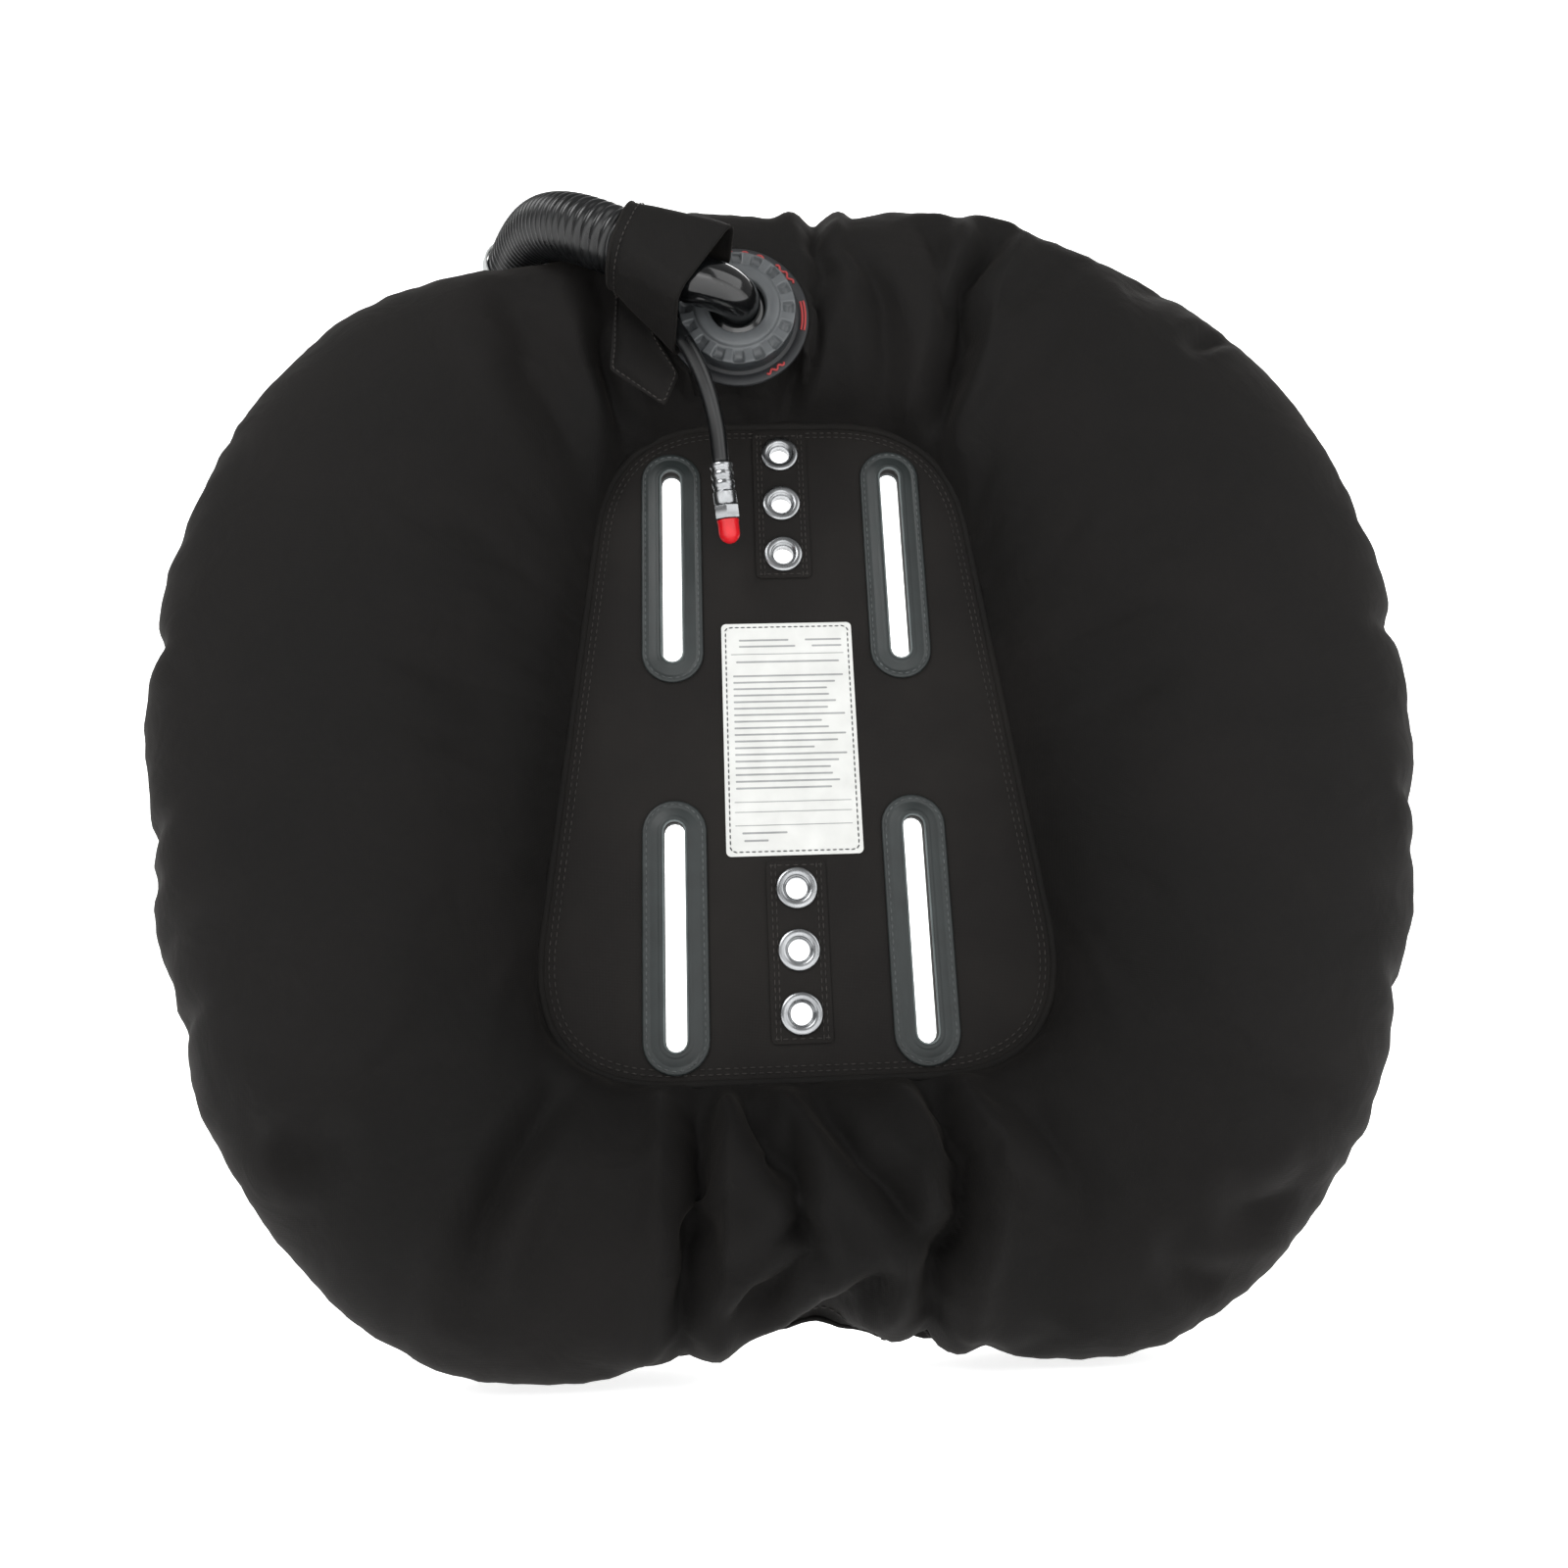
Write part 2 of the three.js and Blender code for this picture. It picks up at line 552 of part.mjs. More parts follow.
// the elbow's tube leaves the port along its axis and turns towards the hose
function elbow() {
  const along = (distance) => PORT.clone().addScaledVector(PORT_AXIS, distance);
  const [hoseStart, hoseNext] = HOSE_ROUTE.map((point) => new THREE.Vector3(...point));
  const outlet = hoseNext.sub(hoseStart).normalize();
  const bendStart = along(ELBOW_REACH - ELBOW_BEND);
  const bendEnd = hoseStart.clone().addScaledVector(outlet, -ELBOW_STRAIGHT);
  const path = new THREE.CurvePath();
  path.add(new THREE.LineCurve3(along(COLLAR_FOOT), bendStart));
  path.add(new THREE.QuadraticBezierCurve3(bendStart, along(ELBOW_REACH), bendEnd));
  path.add(new THREE.LineCurve3(bendEnd, hoseStart.clone().addScaledVector(outlet, -GAP)));
  const section = circle(0, 0, ELBOW_RADIUS, 12);
  section.holes.push(circle(0, 0, ELBOW_BORE, 12));
  const tube = new THREE.ExtrudeGeometry(section, { steps: 9, bevelEnabled: false, extrudePath: path });
  const base = collar(ELBOW_BORE, COLLAR_RADIUS, COLLAR_FOOT, COLLAR_FOOT + COLLAR_THICKNESS);
  return join(tube, place(base, PORT_AXIS, PORT));
}

add("elbow", elbow(), BLACK_PLASTIC);

// ---------------------------------------------------------------- hoses and the sleeve round them
const corrugatedHose = hose(HOSE_ROUTE, HOSE_DIAMETER, HOSE_WALL, HOSE_SIDES, HOSE_STEPS);
add("corrugated_hose", corrugatedHose, BLACK_RUBBER);
add("lp_hose", hose(LP_ROUTE, LP_DIAMETER, LP_WALL, LP_SIDES, LP_STEPS), BLACK_RUBBER);

// the sleeve's own frame: Y along the hoses, X upwards across them, Z towards the tank
const sleeveAlong = SLEEVE_END.clone().sub(SLEEVE_START).normalize();
const sleeveUp = Z_AXIS.clone().addScaledVector(sleeveAlong, -sleeveAlong.z).normalize();
const sleeveOut = sleeveUp.clone().cross(sleeveAlong);
const SLEEVE_FRAME = new THREE.Matrix4().makeBasis(sleeveUp, sleeveAlong, sleeveOut);
SLEEVE_FRAME.setPosition(SLEEVE_START);
const SLEEVE_LENGTH = SLEEVE_END.distanceTo(SLEEVE_START);

function sleeveSection(wall) {
  const [left, right] = [-SLEEVE_DOWN - wall, SLEEVE_UP + wall];
  const [low, high] = [-SLEEVE_BACK - wall, SLEEVE_FRONT + wall];
  const round = SLEEVE_ROUND + wall;
  const path = new THREE.Path();
  path.absarc(right - round, high - round, round, 0, Math.PI / 2);
  path.absarc(left + round, high - round, round, Math.PI / 2, Math.PI);
  path.absarc(left + round, low + round, round, Math.PI, 1.5 * Math.PI);
  path.absarc(right - round, low + round, round, 1.5 * Math.PI, 2 * Math.PI);
  return new THREE.Shape(path.getPoints(4));
}

// its back is cut away where it reaches over the lock ring and the flange
function sleeveWrap() {
  const section = sleeveSection(SLEEVE_WALL);
  section.holes.push(sleeveSection(0));
  const wrap = plate(section, 0, SLEEVE_LENGTH).applyMatrix4(SLEEVE_FRAME);
  const ringRoom = rod(RING_RADIUS + 1, -RING_RADIUS, RING_TOP + 1, 32);
  const flangeRoom = rod(FLANGE_RADIUS + 1, -RING_RADIUS, 1, 32);
  return cut(wrap, place(ringRoom, PORT_AXIS, PORT), place(flangeRoom, PORT_AXIS, PORT));
}

// the tail of the sleeve hangs down behind it, clear of the port's flange
function sleeveFlap() {
  const shape = new THREE.Shape(FLAP_OUTLINE.map(([up, along]) => new THREE.Vector2(up, along)));
  const face = -SLEEVE_BACK - SLEEVE_WALL - GAP - FLAP_THICKNESS;
  const flap = new THREE.ExtrudeGeometry(shape, { depth: FLAP_THICKNESS, bevelEnabled: false });
  return flap.translate(0, 0, face).applyMatrix4(SLEEVE_FRAME);
}

add("hose_sleeve", sleeveWrap(), NYLON);
add("sleeve_flap", sleeveFlap(), NYLON);

// ---------------------------------------------------------------- free end of the low-pressure hose
const lpEnd = new THREE.Group();
const [lpStart, lpNext] = LP_ROUTE.map((point) => new THREE.Vector3(...point));
lpEnd.quaternion.setFromUnitVectors(Y_AXIS, lpStart.clone().sub(lpNext).normalize());
lpEnd.position.copy(lpStart);
root.add(lpEnd);

const HEX_FOOT = GAP + FERRULE_LENGTH + GAP;
const STUD_END = HEX_FOOT + HEX_LENGTH + STUD_LENGTH;
const CAP_FOOT = HEX_FOOT + HEX_LENGTH + GAP;

function threadedFitting() {
  const hex = rod(HEX_RADIUS, HEX_FOOT, HEX_FOOT + HEX_LENGTH, 6);
  return join(hex, rod(STUD_RADIUS, HEX_FOOT, STUD_END, 16));
}

// a short cylinder with a round end
function dustCap() {
  const shoulder = CAP_FOOT + CAP_LENGTH - CAP_RADIUS;
  const dome = [0, 30, 60].map(THREE.MathUtils.degToRad).map((angle) => [
    CAP_RADIUS * Math.cos(angle),
    shoulder + CAP_RADIUS * Math.sin(angle),
  ]);
  const body = turned([[0, CAP_FOOT], [CAP_RADIUS, CAP_FOOT], ...dome, [0, shoulder + CAP_RADIUS]], 16);
  return cut(body, rod(STUD_RADIUS + GAP, CAP_FOOT - 1, STUD_END + GAP, 16));
}

add("lp_ferrule", rod(FERRULE_RADIUS, GAP, GAP + FERRULE_LENGTH), STEEL, lpEnd);
add("lp_threaded_fitting", threadedFitting(), STEEL, lpEnd);
add("dust_cap", dustCap(), RED_CAP, lpEnd);

// ---------------------------------------------------------------- inflator
const inflator = new THREE.Group();
const hoseEnd = new THREE.Vector3(...HOSE_ROUTE[HOSE_ROUTE.length - 1]);
inflator.position.set(hoseEnd.x, hoseEnd.y, hoseEnd.z - GAP);
root.add(inflator);
const DOWN = new THREE.Vector3(0, 0, -1);

const INFLATE_POCKET = INFLATE_SEAT + INFLATE_TRAVEL + SPRING_ROOM;
const VENT_POCKET = VENT_SEAT + VENT_TRAVEL + SPRING_ROOM;

function inflatorBody() {
  const inflateAt = new THREE.Vector3(0, 0, -INFLATE_DROP);
  const mouthAt = new THREE.Vector3(0, 0, -MOUTH_DROP);
  const pocketFoot = INFLATE_REACH - INFLATE_POCKET;
  const whole = join(
    place(rod(BODY_RADIUS, 0, BODY_LENGTH, 24), DOWN),
    place(rod(INFLATE_BOSS, 0, INFLATE_REACH), Y_AXIS, inflateAt),
    place(rod(MOUTH_RADIUS, 0, MOUTH_REACH), Y_AXIS, mouthAt),
    place(rod(NIPPLE_ARM, 0, NIPPLE_OFFSET + NIPPLE_ARM, 16), X_AXIS, inflateAt),
  );
  return cut(
    whole,
    place(rod(INFLATE_BORE, pocketFoot, INFLATE_REACH + 1), Y_AXIS, inflateAt),
    place(rod(VENT_BORE, BODY_LENGTH - VENT_POCKET, BODY_LENGTH + 1, 24), DOWN),
    place(rod(MOUTH_BORE, 0, MOUTH_REACH + 1), Y_AXIS, mouthAt),
  );
}

function button(bore, seat, proud) {
  const radius = bore - BUTTON_PLAY;
  return turned([
    [0, -seat], [radius, -seat], [radius, proud - BUTTON_CHAMFER],
    [radius - BUTTON_CHAMFER, proud], [0, proud],
  ], 20);
}

// the spring between the floor of a button's pocket and the button's foot
function buttonSpring(bore, pocket, seat) {
  const radius = bore - SPRING_PLAY - SPRING_WIRE;
  return spring(radius, SPRING_WIRE, GAP - pocket, -seat - GAP, SPRING_TURNS);
}

add("inflator_body", inflatorBody(), BLACK_PLASTIC, inflator);

const inflateGroup = new THREE.Group();
inflateGroup.position.set(0, INFLATE_REACH, -INFLATE_DROP);
inflator.add(inflateGroup);
add("inflate_button", button(INFLATE_BORE, INFLATE_SEAT, INFLATE_PROUD), GREY_PLASTIC, inflateGroup);
const inflateSpring = buttonSpring(INFLATE_BORE, INFLATE_POCKET, INFLATE_SEAT);
add("inflate_spring", inflateSpring, STEEL, inflateGroup);

const ventGroup = new THREE.Group();
ventGroup.position.set(0, 0, -BODY_LENGTH);
ventGroup.quaternion.setFromUnitVectors(Y_AXIS, DOWN);
inflator.add(ventGroup);
add("vent_button", button(VENT_BORE, VENT_SEAT, VENT_PROUD), RED_CAP, ventGroup);
add("vent_spring", buttonSpring(VENT_BORE, VENT_POCKET, VENT_SEAT), STEEL, ventGroup);

const mouthEnd = MOUTH_REACH + MOUTHPIECE_OVERHANG;
const mouthpieceBore = MOUTH_RADIUS + GAP;
const mouthpiece = collar(
  mouthpieceBore, mouthpieceBore + MOUTHPIECE_WALL, mouthEnd - MOUTHPIECE_LENGTH, mouthEnd, 20,
);
add("mouthpiece", mouthpiece, BLACK_RUBBER, inflator).position.z = -MOUTH_DROP;

// low-pressure inlet: a nipple that points up, and the quick coupling on it
const inlet = new THREE.Group();
inlet.position.set(NIPPLE_OFFSET, 0, -INFLATE_DROP + NIPPLE_ARM + GAP);
inlet.quaternion.setFromUnitVectors(Y_AXIS, Z_AXIS);
inflator.add(inlet);
add("inflator_nipple", turned([
  [NIPPLE_BORE, 0], [NIPPLE_FOOT_RADIUS, 0], [NIPPLE_FOOT_RADIUS, NIPPLE_FOOT],
  [NIPPLE_RADIUS, NIPPLE_FOOT], [NIPPLE_RADIUS, NIPPLE_LENGTH], [NIPPLE_BORE, NIPPLE_LENGTH],
], 16), STEEL, inlet);

const QD_FOOT = NIPPLE_FOOT + GAP;
const QD_TOP = QD_FOOT + QD_LENGTH;
const QD_STEP = QD_FOOT + QD_WAIST;
const QD_SEAT = QD_TOP - QD_BORE_DEPTH;
add("qd_body", turned([
  [NIPPLE_RADIUS + GAP, QD_FOOT], [QD_RADIUS, QD_FOOT], [QD_RADIUS, QD_STEP],
  [QD_COLLAR_RADIUS - 1, QD_STEP], [QD_COLLAR_RADIUS - 1, QD_TOP], [QD_BORE, QD_TOP],
  [QD_BORE, QD_SEAT], [NIPPLE_RADIUS + GAP, QD_SEAT - 2],
], 20), STEEL, inlet);
const qdCollarTop = QD_STEP - GAP - QD_COLLAR_TRAVEL;
const qdCollar = collar(QD_RADIUS + GAP, QD_COLLAR_RADIUS, qdCollarTop - QD_COLLAR_LENGTH, qdCollarTop, 20);
add("qd_collar", qdCollar, BLACK_PLASTIC, inlet);

// ---------------------------------------------------------------- hose keeper and clamp
// a band round the corrugated hose, along +Y from its foot
function hoseBand(length, thickness) {
  const bore = HOSE_DIAMETER / 2 + BAND_CLEARANCE;
  return collar(bore, bore + thickness, 0, length, 20);
}

const [beforeKeeper, keeperFoot, afterKeeper] = [-1, 0, 1].map(
  (step) => new THREE.Vector3(...HOSE_ROUTE[KEEPER_POINT + step]),
);
const keeper = hoseBand(KEEPER_LENGTH, KEEPER_THICKNESS).translate(0, -KEEPER_LENGTH / 2, 0);
add("hose_keeper", place(keeper, afterKeeper.sub(beforeKeeper), keeperFoot), GREY_PLASTIC);
const clamp = hoseBand(CLAMP_LENGTH, CLAMP_THICKNESS).translate(0, CLAMP_RISE, 0);
add("hose_clamp", place(clamp, Z_AXIS), STEEL, inflator);

// ---------------------------------------------------------------- dump valve
const valve = new THREE.Group();
valve.position.copy(VALVE_FACE);
root.add(valve);

const VALVE_NECK_FOOT = -VALVE_FLANGE_THICKNESS - VALVE_NECK_DEPTH;
const VALVE_DISC_FOOT = VALVE_SEAT_HEIGHT + GAP;
const VALVE_DISC_TOP = VALVE_DISC_FOOT + VALVE_DISC_THICKNESS;
const VALVE_CAP_ROOF = VALVE_DISC_TOP + VALVE_TRAVEL + SPRING_ROOM;
const VALVE_CAP_HEIGHT = VALVE_CAP_ROOF + VALVE_CAP_WALL;

function valveFlange() {
  const seatRadius = VALVE_BORE + VALVE_SEAT_WALL;
  return turned([
    [VALVE_BORE, VALVE_NECK_FOOT], [VALVE_NECK_RADIUS, VALVE_NECK_FOOT],
    [VALVE_NECK_RADIUS, -VALVE_FLANGE_THICKNESS], [VALVE_FLANGE_RADIUS, -VALVE_FLANGE_THICKNESS],
    [VALVE_FLANGE_RADIUS, 0], [seatRadius, 0], [seatRadius, VALVE_SEAT_HEIGHT],
    [VALVE_BORE, VALVE_SEAT_HEIGHT],
  ]);
}

add("dump_valve_flange", valveFlange(), FLANGE_PLASTIC, valve);
const valveDisc = rod(VALVE_DISC_RADIUS, VALVE_DISC_FOOT, VALVE_DISC_TOP, 24);
add("dump_valve_disc", valveDisc, BLACK_RUBBER, valve);
const [springFoot, springTop] = [VALVE_DISC_TOP + GAP, VALVE_CAP_ROOF - GAP];
const valveSpring = spring(VALVE_SPRING_RADIUS, SPRING_WIRE, springFoot, springTop, SPRING_TURNS);
add("dump_valve_spring", valveSpring, STEEL, valve);

function valveCap() {
  const inner = VALVE_CAP_RADIUS - VALVE_CAP_WALL;
  const body = turned([
    [inner, GAP], [VALVE_CAP_RADIUS, GAP], [VALVE_CAP_RADIUS, VALVE_CAP_HEIGHT - VALVE_CAP_CHAMFER],
    [VALVE_CAP_RADIUS - VALVE_CAP_CHAMFER, VALVE_CAP_HEIGHT], [VALVE_PULL_BORE, VALVE_CAP_HEIGHT],
    [VALVE_PULL_BORE, VALVE_CAP_ROOF], [inner, VALVE_CAP_ROOF],
  ]);
  const vents = [];
  for (let i = 0; i < VALVE_VENTS; i++) {
    const angle = (2 * Math.PI * i) / VALVE_VENTS;
    const direction = new THREE.Vector3(Math.cos(angle), 0, Math.sin(angle));
    const vent = rod(VALVE_VENT_RADIUS, inner - 2, VALVE_CAP_RADIUS + 2, 8);
    vents.push(place(vent, direction, new THREE.Vector3(0, VALVE_CAP_HEIGHT / 2, 0)));
  }
  return cut(body, ...vents);
}

add("dump_valve_cap", valveCap(), BLACK_PLASTIC, valve);

export default root;
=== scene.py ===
# %% [markdown]
# # An inflated diving wing
# The object is a donut-shaped buoyancy wing as a technical diver wears it between the steel plate
# on the back and the tanks. We see the side that faces the tanks. Everything here is in metres, in
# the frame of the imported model: +Z is up as it is worn, -Y faces the tanks, and the origin is the
# middle of the bolt pattern.

# %% The frame
import math

import bmesh
import bpy
import numpy as np
from mathutils import Matrix, Vector, noise


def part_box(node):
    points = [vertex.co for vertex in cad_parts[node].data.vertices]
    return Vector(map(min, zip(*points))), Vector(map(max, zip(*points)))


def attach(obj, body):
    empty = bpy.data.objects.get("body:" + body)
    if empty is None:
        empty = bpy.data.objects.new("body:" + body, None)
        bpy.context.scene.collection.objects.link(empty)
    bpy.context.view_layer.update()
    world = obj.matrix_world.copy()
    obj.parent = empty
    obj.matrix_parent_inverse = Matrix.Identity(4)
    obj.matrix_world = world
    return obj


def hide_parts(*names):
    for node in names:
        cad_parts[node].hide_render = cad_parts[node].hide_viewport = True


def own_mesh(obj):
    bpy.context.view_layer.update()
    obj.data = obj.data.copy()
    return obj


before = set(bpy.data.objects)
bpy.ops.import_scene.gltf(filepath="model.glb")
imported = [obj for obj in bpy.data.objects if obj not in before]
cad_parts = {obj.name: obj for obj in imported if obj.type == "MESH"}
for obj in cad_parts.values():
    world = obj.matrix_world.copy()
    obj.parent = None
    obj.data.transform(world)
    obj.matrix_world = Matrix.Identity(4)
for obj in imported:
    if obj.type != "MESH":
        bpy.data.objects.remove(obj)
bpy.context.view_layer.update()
MM = 0.001

# %% [markdown]
# ## The camera
# The camera stands low on the tank side and looks slightly up, so the lower half of the wing is
# nearer than the upper half. Position, forward and up directions are enough to set it: the third
# direction is their cross product.

# %% Camera
CAMERA_PLACE = Vector((-0.0334, -0.6064, -0.2109))
CAMERA_FORWARD = Vector((0.0452, 0.9627, 0.2668)).normalized()
CAMERA_UP = Vector((0.0255, -0.2681, 0.9631))

SENSOR_WIDTH, FOCAL_LENGTH = 36, 24.75  # of the lens, in millimetres
NEAREST_SEEN = 0.01  # the lens is close to the hose, so it may not cut off what is near

lens = bpy.data.cameras.new("camera")
lens.sensor_width, lens.lens, lens.clip_start = SENSOR_WIDTH, FOCAL_LENGTH, NEAREST_SEEN
camera = bpy.data.objects.new("camera", lens)
bpy.context.collection.objects.link(camera)
side = CAMERA_FORWARD.cross(CAMERA_UP).normalized()
up = side.cross(CAMERA_FORWARD)
rotation = np.array([side, up, -CAMERA_FORWARD]).T
camera.matrix_world = Matrix([[*rotation[i], CAMERA_PLACE[i]] for i in range(3)] + [[0, 0, 0, 1]])
bpy.context.scene.camera = camera
print("camera with a lens of", FOCAL_LENGTH, "mm")

# %% [markdown]
# ## Helpers for meshes
# Almost every piece of this object is a row of closed rings: a turned grommet, a swept hose, a
# stadium-shaped patch. So one helper joins rings into a skin, and a few others say what the rings
# are. Normals are made to point outwards once, when the skin is closed.

# %% A skin over rings of points
SAME_POINT = 1e-6  # metres; points nearer to each other than this are merged


def put_in_scene(name, mesh):
    obj = bpy.data.objects.new(name, mesh)
    bpy.context.collection.objects.link(obj)
    return obj


def close_up(mesh):
    """Merges doubled points, then turns every face outwards."""
    shell = bmesh.new()
    shell.from_mesh(mesh)
    bmesh.ops.remove_doubles(shell, verts=shell.verts, dist=SAME_POINT)
    bmesh.ops.recalc_face_normals(shell, faces=shell.faces)
    shell.to_mesh(mesh)
    shell.free()


def skin(name, rings, closed=False):
    """Joins rings of points, in millimetres, into one mesh: a loop of rings, or one with caps."""
    rings = np.asarray(rings, float)
    count, around = rings.shape[:2]
    mesh = bpy.data.meshes.new(name)
    faces = []
    for i in range(count if closed else count - 1):
        for j in range(around):
            a, b = i * around, (i + 1) % count * around
            k = (j + 1) % around
            faces.append((a + j, a + k, b + k, b + j))
    if not closed:
        faces.append(tuple(range(around))[::-1])
        faces.append(tuple((count - 1) * around + j for j in range(around)))
    mesh.from_pydata((rings.reshape(-1, 3) * MM).tolist(), [], faces)
    close_up(mesh)
    mesh.shade_smooth()
    return put_in_scene(name, mesh)


# %% Turned pieces
def unit(vector):
    """The same direction with a length of one."""
    return np.asarray(vector, float) / np.linalg.norm(vector)


def basis(axis):
    """Two directions square to an axis, and the axis itself."""
    axis = unit(axis)
    helper = np.array([1.0, 0, 0]) if abs(axis[0]) < 0.9 else np.array([0, 0, 1.0])
    u = unit(np.cross(helper, axis))
    return u, np.cross(axis, u), axis


def turned(name, profile, origin, axis, facets=64):
    """A turned piece: profile is a closed list of (radius, height along the axis)."""
    u, v, w = basis(axis)
    angles = np.linspace(0, 2 * math.pi, facets, endpoint=False)
    rings = []
    for angle in angles:
        out = math.cos(angle) * u + math.sin(angle) * v
        rings.append([np.asarray(origin) + radius * out + height * w for radius, height in profile])
    return skin(name, rings, closed=True)


# %% [markdown]
# A smooth line through a few points needs a slope at each of them. Here the slopes follow the
# square roots of the gaps between the points, which keeps the line from overshooting where the
# points are uneven. The line is then cut into even steps, so that faces along it are even too.

# %% Smooth lines
def smooth_span(p0, p1, p2, p3, count):
    """Points from p1 to just before p2, on a line that turns gently through all four."""
    k0, k1, k2 = (math.sqrt(np.linalg.norm(b - a)) for a, b in ((p0, p1), (p1, p2), (p2, p3)))
    m1 = ((p1 - p0) / k0 - (p2 - p0) / (k0 + k1) + (p2 - p1) / k1) * k1
    m2 = ((p2 - p1) / k1 - (p3 - p1) / (k1 + k2) + (p3 - p2) / k2) * k1
    return [(2 * t**3 - 3 * t**2 + 1) * p1 + (t**3 - 2 * t**2 + t) * m1
            + (3 * t**2 - 2 * t**3) * p2 + (t**3 - t**2) * m2
            for t in np.linspace(0, 1, count, endpoint=False)]


def distance_along(line):
    return np.r_[0, np.cumsum(np.linalg.norm(np.diff(line, axis=0), axis=1))]


def places_on(line, along, steps):
    """The places at these distances along a line."""
    return np.array([np.interp(steps, along, line[:, k]) for k in range(3)]).T


def smooth_path(points, spacing):
    """A line through the points, cut into even steps."""
    points = np.asarray(points, float)
    padded = np.vstack([2 * points[0] - points[1], points, 2 * points[-1] - points[-2]])
    dense = []
    for i in range(1, len(padded) - 2):
        dense += smooth_span(*padded[i - 1:i + 3], 24)
    dense = np.array(dense + [points[-1]])
    along = distance_along(dense)
    return places_on(dense, along, np.linspace(0, along[-1], max(2, round(along[-1] / spacing) + 1)))


def even_loop(points, spacing):
    """A closed line, cut into even steps."""
    points = np.asarray(points, float)
    looped = np.vstack([points, points[:1]])
    along = distance_along(looped)
    return places_on(looped, along, np.linspace(0, along[-1], round(along[-1] / spacing), endpoint=False))


def bent(start, corner, end, count):
    """A line that leaves start towards the corner and reaches end from it."""
    return [(1 - t)**2 * start + 2 * t * (1 - t) * corner + t**2 * end for t in np.linspace(0, 1, count)]


def eased(share):
    """Turns an even rise from 0 to 1 into one with a soft start and end."""
    return share**2 * (3 - 2 * share)


# %% Sweeps along a line
def frames_along(path, closed=False):
    """Two directions square to each point of a path, turned as little as possible."""
    if closed:
        tangents = np.roll(path, -1, 0) - np.roll(path, 1, 0)
    else:
        tangents = np.gradient(path, axis=0)
    tangents /= np.linalg.norm(tangents, axis=1)[:, None]
    u = basis(tangents[0])[0]
    sides = []
    for tangent in tangents:
        u = unit(u - tangent * (u @ tangent))
        sides.append((u, np.cross(tangent, u)))
    return sides


def sweep(name, path, radii, sides=24, closed=False, flat=1.0):
    """A tube along a path; radii is one number or one for each point."""
    path = np.asarray(path, float)
    radii = np.broadcast_to(radii, len(path))
    angles = np.linspace(0, 2 * math.pi, sides, endpoint=False)
    rings = [[p + r * (math.cos(a) * u + flat * math.sin(a) * v) for a in angles]
             for p, r, (u, v) in zip(path, radii, frames_along(path, closed))]
    return skin(name, rings, closed=closed)


# %% Rounded edges, and plain meshes from modifiers
SHARP_EDGE = math.radians(40)  # an edge that turns more than this is rounded


def soften(obj, width):
    """Rounds the hard edges of a moulded or machined piece."""
    bevel = obj.modifiers.new("rounded edges", "BEVEL")
    bevel.width, bevel.segments = width * MM, 2
    bevel.limit_method, bevel.angle_limit = "ANGLE", SHARP_EDGE
    bevel.harden_normals = True
    return obj


def made_plain(obj):
    """The object with its modifiers worked in."""
    depsgraph = bpy.context.evaluated_depsgraph_get()
    mesh = bpy.data.meshes.new_from_object(obj.evaluated_get(depsgraph))
    mesh.name = obj.name
    obj.modifiers.clear()
    if obj.type == "MESH":
        obj.data = mesh
        return obj
    name = obj.name
    bpy.data.objects.remove(obj)
    return put_in_scene(name, mesh)


def merged(name, *objects):
    """One object from several, with their materials."""
    mesh = bpy.data.meshes.new(name)
    whole = bmesh.new()
    for obj in objects:
        start = len(whole.faces)
        whole.from_mesh(made_plain(obj).data)
        whole.faces.ensure_lookup_table()
        own = [material for material in obj.data.materials if material]
        for material in own:
            if material.name not in [m.name for m in mesh.materials]:
                mesh.materials.append(material)
        names = [m.name for m in mesh.materials]
        table = [names.index(m.name) for m in own]
        for face in whole.faces[start:]:
            face.material_index = table[min(face.material_index, len(table) - 1)]
    whole.to_mesh(mesh)
    whole.free()
    for obj in objects:
        bpy.data.objects.remove(obj)
    return put_in_scene(name, mesh)


# %% [markdown]
# ## Helpers for node trees
# A finish is a small node tree. `add` makes a node, sets its settings and wires its inputs in one
# line: a plain value is set on the socket, and another node's output is linked to it. Colours are
# written as the usual six-figure codes, which are sRGB, and Blender works in linear light.

# %% Node helpers
def linear(code):
    channels = [int(code[i:i + 2], 16) / 255 for i in (0, 2, 4)]
    light = [c / 12.92 if c <= 0.04045 else ((c + 0.055) / 1.055) ** 2.4 for c in channels]
    return (*light, 1.0)


def add(tree, kind, inputs=(), **settings):
    made = tree.nodes.new(kind)
    for key, value in settings.items():
        setattr(made, key, value)
    for key, value in dict(inputs).items():
        if isinstance(value, bpy.types.NodeSocket):
            tree.links.new(value, made.inputs[key])
        else:
            made.inputs[key].default_value = value
    return made


def finish_tree(name, **shader):
    """A material with its shader, and its tree with object coordinates in metres."""
    material = bpy.data.materials.new(name)
    material.use_nodes = True
    tree = material.node_tree
    principled = tree.nodes["Principled BSDF"]
    for key, value in shader.items():
        principled.inputs[key.replace("_", " ")].default_value = value
    place = add(tree, "ShaderNodeTexCoord").outputs["Object"]
    return material, tree, principled, place


def mix_colours(tree, factor, first, second):
    made = add(tree, "ShaderNodeMix", {0: factor}, data_type="RGBA")
    for socket, value in ((made.inputs[6], first), (made.inputs[7], second)):
        if isinstance(value, bpy.types.NodeSocket):
            tree.links.new(value, socket)
        else:
            socket.default_value = value
    return made.outputs[2]


def ramp(tree, value, low, high):
    """0 up to low, 1 from high on, and even between."""
    return add(tree, "ShaderNodeMapRange",
               {"Value": value, "From Min": low, "From Max": high}).outputs[0]


print("mid grey 808080 is", round(linear("808080")[0], 3), "in linear light")


